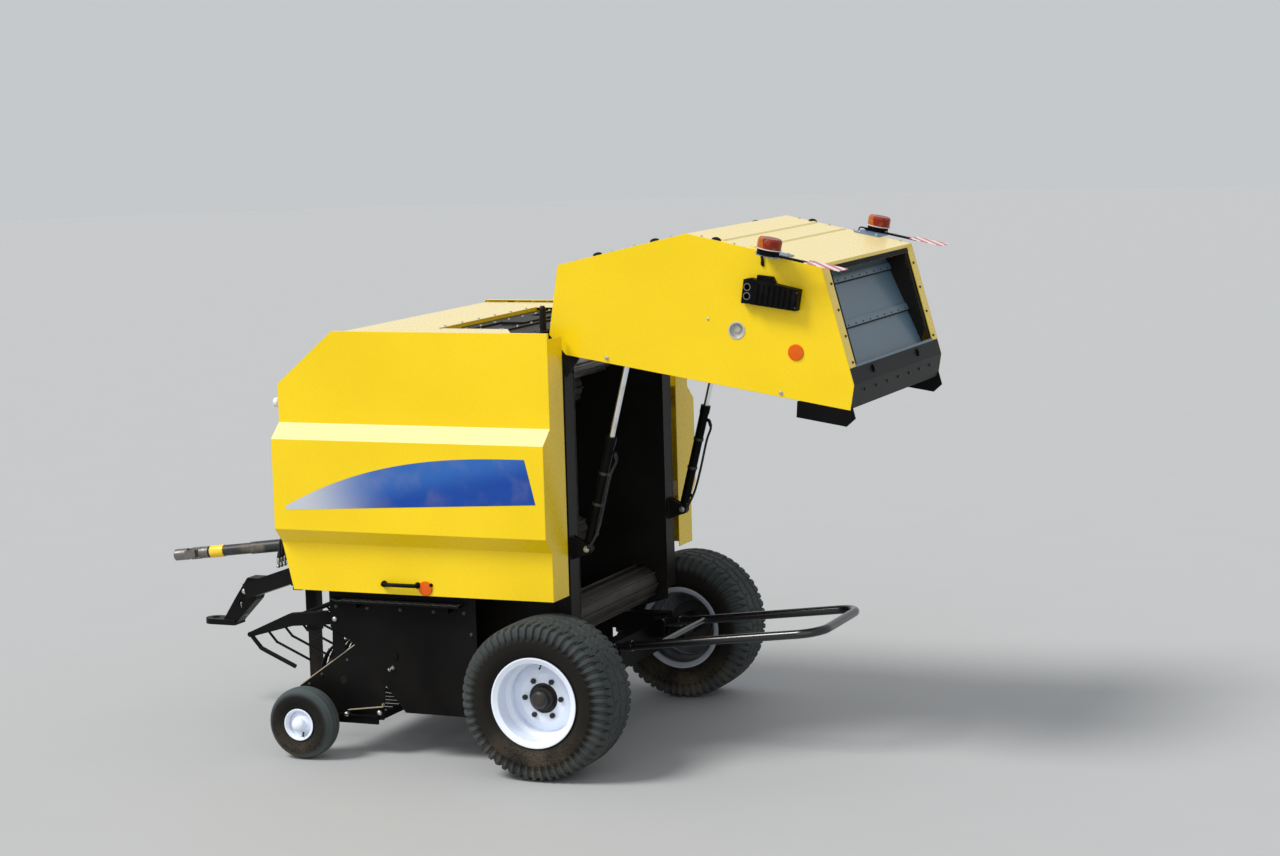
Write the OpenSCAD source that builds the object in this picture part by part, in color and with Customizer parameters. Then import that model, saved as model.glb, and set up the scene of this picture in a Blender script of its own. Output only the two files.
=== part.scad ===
// Round baler with a fixed chamber, tailgate raised, parked on its wheels and jack.
// X runs to the rear, Y to the machine's right, Z up, ground at z = 0.
// Inside the modules x = 0 is the main axle; at_machine() moves it to the frame's middle.

/* [Chamber] */
// Radius of the bale chamber
chamber_r = 625; // [600:5:630]
// Height of the chamber's middle above the ground
chamber_z = 1440; // [1430:5:1450]
// Distance of the chamber's middle behind the axle
chamber_x = 50; // [40:5:60]
// Half the clear width of the chamber
chamber_half_w = 610; // [590:5:625]
// Thickness of a chamber side wall
wall_t = 6; // [4:1:10]
// Radius of a chamber roller over its ribs
roller_r = 110; // [90:1:114]
// Radius of a chamber roller's shaft
roller_shaft_r = 22; // [15:1:30]
// Number of ribs on a chamber roller
roller_ribs = 10; // [6:1:14]

/* [Wheels] */
// Diameter of a main tyre out to its lugs
tyre_d = 840; // [800:5:860]
// Width of a main tyre
tyre_w = 390; // [340:5:400]
// Distance of a main wheel's middle plane from the machine's middle
wheel_y = 1020; // [1010:5:1080]
// Diameter of a main rim's bead seat
rim_seat_d = 432; // [406:1:445]
// Height of a rim flange above the bead seat
rim_flange_h = 24; // [16:1:28]
// Pitch circle of the wheel studs
stud_pcd = 205; // [195:1:215]
// Number of wheel studs
stud_count = 6; // [4:1:8]
// Centre bore of a main rim
rim_bore_d = 161; // [150:1:165]
// Diameter of a pickup gauge tyre
gauge_d = 390; // [360:5:400]
// Width of a pickup gauge tyre
gauge_w = 155; // [120:5:160]
// Bead seat diameter of a pickup gauge rim
gauge_seat_d = 152; // [140:2:170]

/* [Side shields] */
// Length of a side shield
shield_len = 1603; // [1590:1:1620]
// Height of a side shield's bottom edge above the ground
shield_z = 913; // [905:1:920]
// Height of a side shield
shield_h = 1405; // [1400:1:1410]
// Half width over the upper faces of the shields
shield_upper_y = 963; // [955:1:970]
// Half width over the belts of the shields
shield_belt_y = 1057; // [1040:1:1070]
// Half width over the lower faces of the shields
shield_lower_y = 982; // [970:1:990]
// Thickness of the sheet metal
sheet_t = 4; // [3:0.5:5]

/* [Tailgate] */
// Half width over the tailgate's side panels
gate_half_w = 761; // [755:1:770]
// How far the tailgate is raised from closed, in degrees
gate_open = 80.5; // [60:0.5:82]
// Distance of the tailgate hinge behind the axle
hinge_x = 66; // [64:1:70]
// Height of the tailgate hinge above the ground
hinge_z = 2200; // [2195:1:2205]
// Radius of the tailgate hinge pins
hinge_pin_r = 20; // [15:1:24]
// Radius of a tailgate cylinder's rod
rod_r = 15; // [12:1:18]
// Wall of a tailgate cylinder's barrel
barrel_wall = 10; // [7:1:12]
// Length of a tailgate cylinder's barrel from its pivot
barrel_len = 620; // [580:5:640]

/* [Pickup] */
// Half width of the pickup over its side sheets
pickup_half_w = 900; // [880:5:900]
// Radius of the tine tips
tine_tip_r = 250; // [235:1:255]
// Radius of the stripper bands
band_r = 200; // [190:1:210]
// Spacing of the tines along a bar
tine_pitch = 76; // [70:1:90]
// Width of a stripper band
band_w = 54; // [40:1:56]
// Number of tine bars
tine_bars = 4; // [3:1:6]

/* [Drawbar and drive] */
// Distance of the hitch eye ahead of the axle
hitch_ahead = 2600; // [2550:10:2650]
// Height of the hitch eye above the ground
hitch_z = 500; // [480:5:520]
// Radius of the hitch eye's bore
hitch_bore_r = 26; // [20:1:30]
// Thickness of the hitch eye's plate
hitch_t = 32; // [25:1:40]
// Radius of the bore in the drive shaft's yoke
yoke_bore_r = 17.5; // [15:0.5:20]
// Radius of the drive shaft's guard tube
guard_r = 32; // [28:1:36]

/* [Bale kicker] */
// Half width of the bale kicker, to its tubes' middles
kicker_half_w = 350; // [300:5:400]
// Reach of the bale kicker behind the axle
kicker_reach = 1280; // [1150:10:1350]
// Radius of the bale kicker's tube
kicker_tube_r = 24; // [20:1:28]

/* [Hidden] */
$fn = 48;

LEFT = -1;
RIGHT = 1;
X = 0;
Z = 1;

// Clearances
run_gap = 0.3;
seat_gap = 0.3;
move_gap = 6;

// Frame shift: the middle of the overall length is x = 0
shaft_tilt = 7;
input_x = -1600;
input_z = 1030;
guard_from = 14;
guard_len = 1020;
yoke_r = 34;
yoke_end = guard_len + 240;
gate_latch_tip = [16, 600];
machine_front = input_x - yoke_end * cos(shaft_tilt) - yoke_r * sin(shaft_tilt);
machine_rear = hinge_x + (gate_latch_tip[0] - hinge_x) * cos(gate_open) - (gate_latch_tip[1] - hinge_z) * sin(gate_open);
machine_x = -(machine_front + machine_rear) / 2;

// Main reference planes
wall_y = chamber_half_w;
wall_out_y = wall_y + wall_t;
axle_z = tyre_d / 2;
shield_rear_x = 40;
shield_front_x = shield_rear_x - shield_len;
shield_top_z = shield_z + shield_h;
hood_z = shield_top_z - 12;

// Chamber rollers: angle about the chamber's middle, from the rear and up
roller_pitch_r = chamber_r + roller_r;
roller_angles = [100, 123, 146, 169, 192, 215, 256];
roller_half_len = wall_y - 12;
deck_z = ceil(chamber_z + roller_pitch_r * sin(roller_angles[0]) + roller_r + 6);
sprocket_r = 70;
sprocket_t = 12;
sprocket_y = wall_out_y + 48;
boss_r = 46;
boss_h = 20;
rotor_x = -800;
rotor_z = 620;
rotor_r = 200;
rotor_shaft_r = 28;

// Frame members
sill_w = 80;
sill_h = 100;
sill_z = 450;
sill_y = wall_out_y;
beam_d = 90;
front_cross_x = -1330;
front_cross_w = 100;
front_cross_z = 985;
front_cross_h = 120;
skirt_y = pickup_half_w + move_gap;
skirt_t = 4;

// Side shield hinge line
shield_hinge_y = shield_upper_y - 20;
shield_hinge_z = shield_top_z - 18;
shield_pin_r = 6;
knuckle_r = 10;
knuckle_len = 40;
knuckle_xs = [-1080, -120];

// Tailgate outline when closed, from the bottom front corner round by the rear
gate_pts = [[53, 631], [183, 631], [755, 892], [790, 1632], [510, hinge_z + 120], [140, hinge_z + 118],
            [52, hinge_z + 10]];
gate_beam_h = 80;

// Elevator loop: angles of its lower and upper ends, and its two chain runs
elevator_lo = -85;
elevator_hi = 85;
elevator_in_r = chamber_r + 18;
elevator_out_r = elevator_in_r + 54;
elevator_end_r = (elevator_out_r - elevator_in_r) / 2;
elevator_mid_r = elevator_in_r + elevator_end_r;
slat_r = 11;
slat_count = 34;
chain_half_t = 7;

// Tailgate cylinders
cyl_share = 64 / 141;
cyl_y = wall_out_y + (gate_half_w - sheet_t - wall_out_y) * cyl_share;
cyl_eye_w = 26;
cyl_pin_r = 12;
cyl_base = [110, 1150];
cyl_top = [413, 2320];
cyl_run = cyl_top - cyl_base;
cyl_len = norm(cyl_run);
cyl_tilt = atan2(cyl_run[0], cyl_run[1]);
rod_len = 680;

// Pickup
pickup_pivot = [-940, 560];
reel_at = [-1270, 410];
band_end_x = -1060;
gauge_at = [-1440, gauge_d / 2];
gauge_arm_t = 12;
gauge_gap = 50.5;
gauge_y = pickup_half_w + gauge_arm_t + gauge_gap + gauge_w / 2;
windguard_at = [-1300, 745];
windguard_knee = [-1610, 728];
windguard_tip = [-1860, 622];
windguard_y = pickup_half_w - 20;

// Kicker
kicker_pivot = [100, 552];
kicker_rise = 6.8;
kicker_bend_r = 130;
kicker_boss = 62;

// Jack
jack_x = -2080;
jack_y = 250;
jack_leg_w = 60;
jack_wall = 6;
jack_sleeve_h = 420;
jack_sleeve_z = 420;

// Geometry helpers

function polar(mid, r, a) = [mid[0] + r * cos(a), mid[1] + r * sin(a)];

// Points of an arc about mid from angle a to b in n steps
function arc(mid, r, a, b, n) = [for (i = [0:n]) polar(mid, r, a + (b - a) * i / n)];

function unit(v) = v / norm(v);

function left_normal(p, q) = let (d = unit(q - p)) [-d[1], d[0]];

// Crossing of the line through p along d with the line through q along e
function crossing(p, d, q, e) = p + d * (cross(q - p, e) / cross(d, e));

// Corners of a counter-clockwise outline moved inwards by t
function inset(pts, t) =
    let (n = len(pts))
    [for (i = [0:n - 1])
        let (a = pts[(i + n - 1) % n], b = pts[i], c = pts[(i + 1) % n],
             m = left_normal(a, b) * t, k = left_normal(b, c) * t)
        crossing(b + m, b - a, b + k, c - b)];

// Outline of a chain or belt round two wheels at p and q, with radii a and b
function belt_outline(p, a, q, b, n = 10) =
    let (run = q - p, lean = atan2(run[1], run[0]), side = acos((a - b) / norm(run)))
    concat(arc(p, a, lean + side, lean + 360 - side, n), arc(q, b, lean - side, lean + side, n));

function chamber_mid() = [chamber_x, chamber_z];

function roller_at(i) = polar(chamber_mid(), roller_pitch_r, roller_angles[i]);

// Moves the axle-based geometry to the machine's own frame
module at_machine() {
    translate([machine_x, 0, 0]) children();
}

// Draws a right-hand shape on the given side
module on_side(side) {
    mirror([0, side == LEFT ? 1 : 0, 0]) children();
}

module both_sides() {
    children();
    mirror([0, 1, 0]) children();
}

// An outline in X and Z made into a slab from y0 to y1
module slab(y0, y1) {
    translate([0, y1, 0]) rotate([90, 0, 0]) linear_extrude(y1 - y0) children();
}

// An outline in Y and Z made into a bar from x0 to x1
module bar_x(x0, x1) {
    translate([x0, 0, 0]) rotate([90, 0, 90]) linear_extrude(x1 - x0) children();
}

// A round bar along Y at the point p = [x, z]
module rod_y(r, y0, y1, p) {
    translate([p[0], y0, p[1]]) rotate([-90, 0, 0]) cylinder(r = r, h = y1 - y0);
}

// A box given by its lowest and highest corners
module box(lo, hi) {
    translate(lo) cube(hi - lo);
}

// Turns closed tailgate geometry to its raised place
module raised() {
    translate([hinge_x, 0, hinge_z]) rotate([0, -gate_open, 0]) translate([-hinge_x, 0, -hinge_z]) children();
}

// Band between two arcs about mid, closed by half circles at both ends
module loop_band(mid, r_in, r_out, a0, a1, half_t) {
    end_r = (r_out - r_in) / 2;
    mid_r = (r_in + r_out) / 2;
    steps = ceil((a1 - a0) / 5);
    difference() {
        polygon(concat(
            arc(mid, r_out + half_t, a0, a1, steps),
            arc(polar(mid, mid_r, a1), end_r + half_t, a1 + 22.5, a1 + 157.5, 6),
            arc(mid, r_in - half_t, a1, a0, steps),
            arc(polar(mid, mid_r, a0), end_r + half_t, a0 + 202.5, a0 + 337.5, 6)));
        polygon(concat(
            arc(mid, r_out - half_t, a0, a1, steps),
            arc(polar(mid, mid_r, a1), end_r - half_t, a1 + 22.5, a1 + 157.5, 6),
            arc(mid, r_in + half_t, a1, a0, steps),
            arc(polar(mid, mid_r, a0), end_r - half_t, a0 + 202.5, a0 + 337.5, 6)));
    }
}

// A closed run of chain round two wheels whose radii are a and b
module chain_run(p, a, q, b) {
    difference() {
        polygon(belt_outline(p, a + 5, q, b + 5));
        polygon(belt_outline(p, a - 5, q, b - 5));
    }
}

// Main wheels: profiles are [radius, distance outboard of the wheel's middle plane]

tyre_profile_bead = 165;

module tyre(side) {
    r = tyre_d / 2;
    h = tyre_w / 2;
    seat = rim_seat_d / 2 + seat_gap;
    translate([0, side * wheel_y, axle_z]) rotate([-90, 0, 0])
        rotate_extrude($fn = 96)
            polygon([[seat, -tyre_profile_bead + 11], [seat + 30, -tyre_profile_bead + 2],
                     [seat + 62, -h + 6], [seat + 100, -h], [r - 62, -h + 4], [r - 26, -h + 16], [r - 8, -h + 36],
                     [r, -h + 66], [r, h - 66], [r - 8, h - 36], [r - 26, h - 16], [r - 62, h - 4],
                     [seat + 100, h], [seat + 62, h - 6], [seat + 30, tyre_profile_bead - 2],
                     [seat, tyre_profile_bead - 11]]);
}

module tyre_left() {
    color("#26282a") at_machine() tyre(LEFT);
}

module tyre_right() {
    color("#26282a") at_machine() tyre(RIGHT);
}

rim_disc_at = 30;

module rim(side) {
    seat = rim_seat_d / 2;
    flange = seat + rim_flange_h;
    wall = 8;
    b = tyre_profile_bead;
    well = 22;
    bore = rim_bore_d / 2;
    on_side(side) translate([0, wheel_y, axle_z]) rotate([-90, 0, 0]) difference() {
        rotate_extrude($fn = 96) union() {
            polygon([[flange, -b - 8], [flange, -b - 2], [seat + 4, -b + 6], [seat, -b + 10],
                     [seat, -90], [seat - well, -70], [seat - well, 40], [seat, 60],
                     [seat, b - 10], [seat + 4, b - 6], [flange, b + 2], [flange, b + 8],
                     [flange - 8, b + 8], [seat - wall, b - 4], [seat - wall, 64],
                     [seat - well - wall, 44], [seat - well - wall, -74], [seat - wall, -94],
                     [seat - wall, -b + 4], [flange - 8, -b - 8]]);
            polygon([[bore, rim_disc_at], [bore, rim_disc_at + 12], [stud_pcd / 2 + 26, rim_disc_at + 12],
                     [seat - well - 6, 8], [seat - well - 6, -8], [stud_pcd / 2 + 30, rim_disc_at]]);
        }
        for (k = [0:stud_count - 1])
            rotate([0, 0, k * 360 / stud_count]) translate([stud_pcd / 2, 0, rim_disc_at - 5])
                cylinder(r = 9.5, h = 30, $fn = 24);
    }
}

module rim_left() {
    color("#f2f2ee") at_machine() rim(LEFT);
}

module rim_right() {
    color("#f2f2ee") at_machine() rim(RIGHT);
}

spindle_r = 30;
spindle_out = 60;
beam_half_len = 800;

// Hub with its flange behind the rim disc, studs, nuts and end cap
module hub(side) {
    on_side(side) translate([0, wheel_y, axle_z]) rotate([-90, 0, 0]) {
        difference() {
            union() {
                translate([0, 0, -90]) cylinder(r = 62, h = 90 + rim_disc_at + 40);
                translate([0, 0, rim_disc_at - 16]) cylinder(r = stud_pcd / 2 + 22, h = 16);
                translate([0, 0, rim_disc_at + 40]) cylinder(r = 46, h = 26);
                translate([0, 0, rim_disc_at + 66]) cylinder(r1 = 46, r2 = 34, h = 12);
                for (k = [0:stud_count - 1]) rotate([0, 0, k * 360 / stud_count])
                    translate([stud_pcd / 2, 0, rim_disc_at - 16]) {
                        cylinder(r = 9, h = 48, $fn = 16);
                        translate([0, 0, 28 + seat_gap]) cylinder(r = 15, h = 14, $fn = 6);
                    }
            }
            translate([0, 0, -91]) cylinder(r = spindle_r + run_gap, h = 91 + spindle_out + 4);
        }
    }
}

module hub_left() {
    color("#1d1e20") at_machine() hub(LEFT);
}

module hub_right() {
    color("#1d1e20") at_machine() hub(RIGHT);
}

// Main frame: sills, axle beam, cross members, shield rails, kicker ears and steps

shield_rail_y = 868;
shield_rail_w = 40;
step_z = shield_z - 62;
step_w = 74;

module sill() {
    box([-1000, sill_y, sill_z], [20, sill_y + sill_w, sill_z + sill_h]);
    box([-70, sill_y + 10, axle_z], [70, sill_y + sill_w - 10, sill_z + sill_h / 2]);
}

// Carrier of the shield's hinge knuckles
module shield_rail() {
    rail_top = hood_z - sheet_t;
    rail_foot = min(rail_top - 40, deck_z - 18);
    box([-1200, shield_rail_y, rail_top - 40], [-20, shield_rail_y + shield_rail_w, rail_top]);
    for (x = [-1090, -620, -140])
        box([x, wall_out_y, rail_foot], [x + 40, shield_rail_y + 1, rail_top]);
    for (x = knuckle_xs) difference() {
        union() {
            translate([x, shield_hinge_y, shield_hinge_z]) rotate([0, 90, 0]) cylinder(r = knuckle_r, h = knuckle_len);
            box([x, shield_rail_y + shield_rail_w - 1, shield_hinge_z - knuckle_r],
                [x + knuckle_len, shield_hinge_y, shield_hinge_z - knuckle_r + 6]);
        }
        translate([x - 1, shield_hinge_y, shield_hinge_z]) rotate([0, 90, 0])
            cylinder(r = shield_pin_r + run_gap, h = knuckle_len + 2);
    }
}

module kicker_ears() {
    ear_t = 10;
    y0 = kicker_half_w - kicker_boss / 2 - 1 - ear_t;
    y1 = kicker_half_w + kicker_boss / 2 + 1;
    for (y = [y0, y1]) slab(y, y + ear_t)
        polygon(concat([[20, sill_z + 20], [kicker_pivot[0] + 20, sill_z + 30]],
                       arc(kicker_pivot, 28, -20, 160, 8), [[20, sill_z + 90]]));
    rod_y(10, y0, y1 + ear_t, kicker_pivot);
}

module main_frame() {
    color("#1b1c1e") at_machine() {
        both_sides() {
            sill();
            shield_rail();
            kicker_ears();
            // Spindle of the main wheel
            translate([0, beam_half_len, axle_z]) rotate([-90, 0, 0])
                cylinder(r = spindle_r, h = wheel_y + spindle_out - beam_half_len);
            // Arms out to the skirts, upright and step
            box([-640, sill_y + sill_w, sill_z + 10], [-560, skirt_y, sill_z + 70]);
            box([-1200, sill_y, shield_z - 75], [-1140, skirt_y, shield_z - 15]);
            box([-500, sill_y + sill_w, sill_z + 10], [-460, skirt_y, sill_z + 70]);
            box([-1200, sill_y, front_cross_z - 40], [-1140, sill_y + 60, front_cross_z + front_cross_h]);
            box([front_cross_x, sill_y, front_cross_z], [-860, sill_y + 60, front_cross_z + front_cross_h]);
            translate([0, 0, step_z]) linear_extrude(12)
                polygon([[-1330, skirt_y + skirt_t], [-520, skirt_y + skirt_t], [-520, skirt_y + step_w],
                         [-1240, skirt_y + step_w]]);
            for (x = [-1150, -600])
                box([x, skirt_y + skirt_t, step_z - 34], [x + 8, skirt_y + step_w - 20, step_z]);
        }
        box([-beam_d / 2, -beam_half_len, axle_z - beam_d / 2], [beam_d / 2, beam_half_len, axle_z + beam_d / 2]);
        box([-40, -sill_y, sill_z + 10], [40, sill_y, sill_z + 90]);
        box([-640, -sill_y - 40, sill_z - 60], [-560, sill_y + 40, sill_z]);
        box([front_cross_x, -sill_y, front_cross_z],
            [front_cross_x + front_cross_w, sill_y, front_cross_z + front_cross_h]);
        box([-1180, -wall_y - wall_t, shield_z - 75], [-1140, wall_y + wall_t, shield_z - 15]);
    }
}

// Chamber side walls with bearing bosses, rear post, hinge ear and cylinder bracket

wall_pts = [[30, 640], [30, 2140], [-90, deck_z], [-600, deck_z], [-900, 1960], [-900, 1120],
            [-1010, 780], [-1010, sill_z], [-560, sill_z], [-430, 560], [-100, 600]];
ear_y = cyl_y + 10;
ear_t = 15;
post_out_y = gate_half_w - 26;

module side_wall(side) {
    shafts = [for (i = [0:6]) roller_at(i)];
    on_side(side) difference() {
        union() {
            slab(wall_y, wall_out_y) polygon(wall_pts);
            for (p = shafts) rod_y(boss_r, wall_out_y, wall_out_y + boss_h, p);
            rod_y(boss_r + 14, wall_out_y, wall_out_y + boss_h, [rotor_x, rotor_z]);
            box([20, wall_out_y, 700], [28, post_out_y, 2080]);
            box([-40, post_out_y - 8, 700], [28, post_out_y, 2080]);
            slab(ear_y, ear_y + ear_t) union() {
                polygon([[-40, 1960], [28, 1960], [28, 2060], [hinge_x + 34, hinge_z - 40],
                         [hinge_x - 40, hinge_z + 14], [-40, 2090]]);
                translate([hinge_x, hinge_z]) circle(r = 44);
            }
            for (y = [cyl_y - cyl_eye_w / 2 - 9, cyl_y + cyl_eye_w / 2 + 1]) slab(y, y + 8) union() {
                polygon([[24, cyl_base[1] - 60], [cyl_base[0], cyl_base[1] - 28],
                         [cyl_base[0], cyl_base[1] + 28], [24, cyl_base[1] + 70]]);
                translate(cyl_base) circle(r = 28);
            }
            rod_y(cyl_pin_r, cyl_y - cyl_eye_w / 2 - 9, cyl_y + cyl_eye_w / 2 + 9, cyl_base);
        }
        for (p = shafts) rod_y(roller_shaft_r + run_gap, wall_y - 1, wall_out_y + boss_h + 1, p);
        rod_y(rotor_shaft_r + run_gap, wall_y - 1, wall_out_y + boss_h + 1, [rotor_x, rotor_z]);
        rod_y(hinge_pin_r + run_gap, ear_y - 1, ear_y + ear_t + 1, [hinge_x, hinge_z]);
    }
}

module wall_left() {
    color("#232427") at_machine() side_wall(LEFT);
}

module wall_right() {
    color("#232427") at_machine() side_wall(RIGHT);
}

// Drawbar: two converging arms, tongue with the hitch eye, jack sleeve and shaft rest

arm_rear = [front_cross_x, 340, 1045];
arm_front = [-2330, 70, 700];
arm_w = 70;
arm_h = 90;

module drawbar_arm() {
    run = arm_front - arm_rear;
    yaw = atan2(run[1], run[0]);
    pitch = atan2(-run[2], norm([run[0], run[1]]));
    translate(arm_rear) rotate([0, 0, yaw]) rotate([0, pitch, 0])
        translate([-arm_h, -arm_w / 2, -arm_h / 2]) cube([norm(run) + arm_h, arm_w, arm_h]);
}

module drawbar() {
    color("#1b1c1e") at_machine() difference() {
        union() {
            both_sides() drawbar_arm();
            // Tongue
            slab(-50, 50) polygon([[-2260, 770], [-2300, 640], [-2450, hitch_z - hitch_t / 2],
                                   [-2520, hitch_z - hitch_t / 2], [-2520, hitch_z + hitch_t / 2],
                                   [-2440, 640], [-2350, 770]]);
            translate([-hitch_ahead, 0, hitch_z - hitch_t / 2]) cylinder(r = 60, h = hitch_t);
            box([-hitch_ahead, -60, hitch_z - hitch_t / 2], [-2440, 60, hitch_z + hitch_t / 2]);
            // Jack bracket and sleeve
            box([jack_x - 30, 60, 690], [jack_x + 30, jack_y - jack_leg_w / 2 - jack_wall, 760]);
            translate([jack_x, jack_y, jack_sleeve_z]) difference() {
                translate([-jack_leg_w / 2 - jack_wall, -jack_leg_w / 2 - jack_wall, 0])
                    cube([jack_leg_w + 2 * jack_wall, jack_leg_w + 2 * jack_wall, jack_sleeve_h]);
                translate([-jack_leg_w / 2 - seat_gap, -jack_leg_w / 2 - seat_gap, -1])
                    cube([jack_leg_w + 2 * seat_gap, jack_leg_w + 2 * seat_gap, jack_sleeve_h - 9]);
            }
            // Jack head with its crank
            translate([jack_x, jack_y, jack_sleeve_z + jack_sleeve_h - 1]) {
                cylinder(r = 26, h = 30);
                translate([0, 0, 20]) cylinder(r = 8, h = 34);
                translate([0, 0, 44]) rotate([0, 90, 0]) cylinder(r = 8, h = 150);
                translate([142, 0, 36]) cylinder(r = 8, h = 74);
                translate([142, 0, 56]) cylinder(r = 14, h = 60);
            }
            // Hose stand beside the tongue
            for (s = [-1, 1]) translate([-1990, s * 150, 760]) cylinder(r = 9, h = 330);
            translate([-1990, 0, 1080]) rotate([90, 0, 0]) cylinder(r = 9, h = 318, center = true);
        }
        translate([-hitch_ahead, 0, hitch_z - hitch_t]) cylinder(r = hitch_bore_r, h = hitch_t * 2);
        // Arms end flush on the front cross member; slots for a safety chain in the tongue
        rod_y(14, -60, 60, [-2395, 620]);
        box([front_cross_x, -500, 900], [front_cross_x + 200, 500, 1300]);
    }
}

module jack_leg() {
    color("#2a2b2e") at_machine() translate([jack_x, jack_y, 0]) {
        translate([-jack_leg_w / 2, -jack_leg_w / 2, 8]) cube([jack_leg_w, jack_leg_w, jack_sleeve_z + 40]);
        translate([-90, -90, 0]) cube([180, 180, 8]);
    }
}

// Hood sheet, from the front face over the chamfer to its rear edge, with the side strips

hood_rear_x = -750;
hood_half_w = 920;

module hood() {
    chamfer_z = shield_top_z - 290;
    chamfer_x = shield_front_x + 345;
    outer = [[shield_front_x + 18, 1350], [shield_front_x + 18, chamfer_z - 6], [chamfer_x + 4, hood_z],
             [hood_rear_x, hood_z]];
    inner = [[hood_rear_x, hood_z - sheet_t], [chamfer_x + 6, hood_z - sheet_t],
             [shield_front_x + 18 + sheet_t, chamfer_z - 8], [shield_front_x + 18 + sheet_t, 1350]];
    color("#f3c90f") at_machine() {
        slab(-hood_half_w, hood_half_w) polygon(concat(outer, inner));
        both_sides() translate([0, 0, hood_z - sheet_t]) linear_extrude(sheet_t)
            polygon([[hood_rear_x - 1, 630], [-340, 630], [-180, hood_half_w], [hood_rear_x - 1, hood_half_w]]);
        // Turned-down rear edge
        box([hood_rear_x - sheet_t, -640, deck_z + sheet_t], [hood_rear_x, 640, hood_z]);
    }
}

post_h = 130;

module top_deck() {
    color("#232427") at_machine() {
        box([hood_rear_x - 60, -wall_out_y, deck_z], [-90, wall_out_y, deck_z + 4]);
        box([-640, -wall_y, deck_z - 60], [-590, wall_y, deck_z]);
        // Stiffening ribs, a cover and the post beside the hinge
        for (x = [-640, -420, -200]) box([x, -wall_out_y + 20, deck_z + 3], [x + 24, wall_out_y - 20, deck_z + 14]);
        box([-590, -180, deck_z + 3], [-450, 180, deck_z + 20]);
        translate([-165, -560, deck_z + 3]) cylinder(r = 30, h = 8);
        translate([-165, -560, deck_z + 3]) cylinder(r = 18, h = post_h);
        translate([-165, -560, deck_z + 3 + post_h]) cylinder(r1 = 18, r2 = 10, h = 12);
    }
}

side_shaft = [-1450, input_z + 90];
driven_roller = 4;
main_chain_y = -(sprocket_y + 56);
rotor_chain_y = -(sprocket_y + 90);
side_sprocket_r = 62;
roller_sprocket_r = 104;
rotor_sprocket_r = 112;

module gearbox() {
    color("#3a3c3f") at_machine() union() {
        box([input_x + 30, -130, input_z - 120], [front_cross_x, 130, input_z + 130]);
        on_shaft_line() translate([0, 0, -60]) cylinder(r = 62, h = 60 + guard_from);
        rod_y(34, rotor_chain_y - 30, -120, side_shaft);
        for (y = [main_chain_y, rotor_chain_y])
            rod_y(side_sprocket_r - 6, y - 5, y + 5, side_shaft);
        // Cooling ribs and the cover plate
        for (x = [-1540, -1500, -1436, -1388]) box([x, -138, input_z - 84], [x + 12, 138, input_z + 104]);
        translate([-1450, 0, input_z + 129]) cylinder(r = 50, h = 9);
        rod_y(30, 120, 200, side_shaft);
    }
}

// Fixed lower side sheets
module skirts() {
    color("#1e1f21") at_machine() both_sides() slab(skirt_y, skirt_y + skirt_t)
        difference() {
            polygon([[-1045, 443], [-889, 251], [-500, 249], [-450, 300], [-450, 905], [-1330, 905],
                     [-1330, 700], [-1180, 610]]);
            translate(pickup_pivot) circle(r = 15 + run_gap);
        }
}

// Trough under the feed rotor and the slope up to the bottom roller
module feed_floor() {
    r = rotor_r + 16;
    mid = [rotor_x, rotor_z];
    bottom = roller_at(6);
    lip = [bottom[0] - roller_r - 40, bottom[1] - 70];
    color("#2b2d30") at_machine() slab(-wall_y, wall_y)
        polygon(concat(arc(mid, r, 200, 300, 10), [lip, lip + [0, -4]], arc(mid, r + 4, 300, 200, 10)));
}

// Chain round the front rollers' sprockets, on the left side
module drive_chain() {
    reach = sprocket_r + 7;
    color("#2f3133") at_machine() union() {
        slab(-sprocket_y - 10, -sprocket_y)
            loop_band(chamber_mid(), roller_pitch_r - reach, roller_pitch_r + reach,
                      roller_angles[0], roller_angles[5], 6);
        // Guide studs between the rollers
        for (i = [0:4]) let (a = (roller_angles[i] + roller_angles[i + 1]) / 2)
            rod_y(12, -sprocket_y - 10, -wall_out_y, polar(chamber_mid(), roller_pitch_r + reach - 14, a));
        // From the gearbox to the fifth roller, and on to the feed rotor
        slab(main_chain_y - 5, main_chain_y + 5)
            chain_run(side_shaft, side_sprocket_r, roller_at(driven_roller), roller_sprocket_r);
        slab(rotor_chain_y - 5, rotor_chain_y + 5)
            chain_run(side_shaft, side_sprocket_r, [rotor_x, rotor_z], rotor_sprocket_r);
    }
}

module front_lamps() {
    color("#e8e8e4") at_machine() both_sides() {
        box([shield_front_x - 40, 870, 1905], [shield_front_x + 18, 912, 1935]);
        translate([shield_front_x - 60, 890, 1920]) rotate([0, 90, 0]) cylinder(r = 26, h = 24);
    }
}

// Side shield: a pressed sheet shell hung from its top edge

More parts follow.
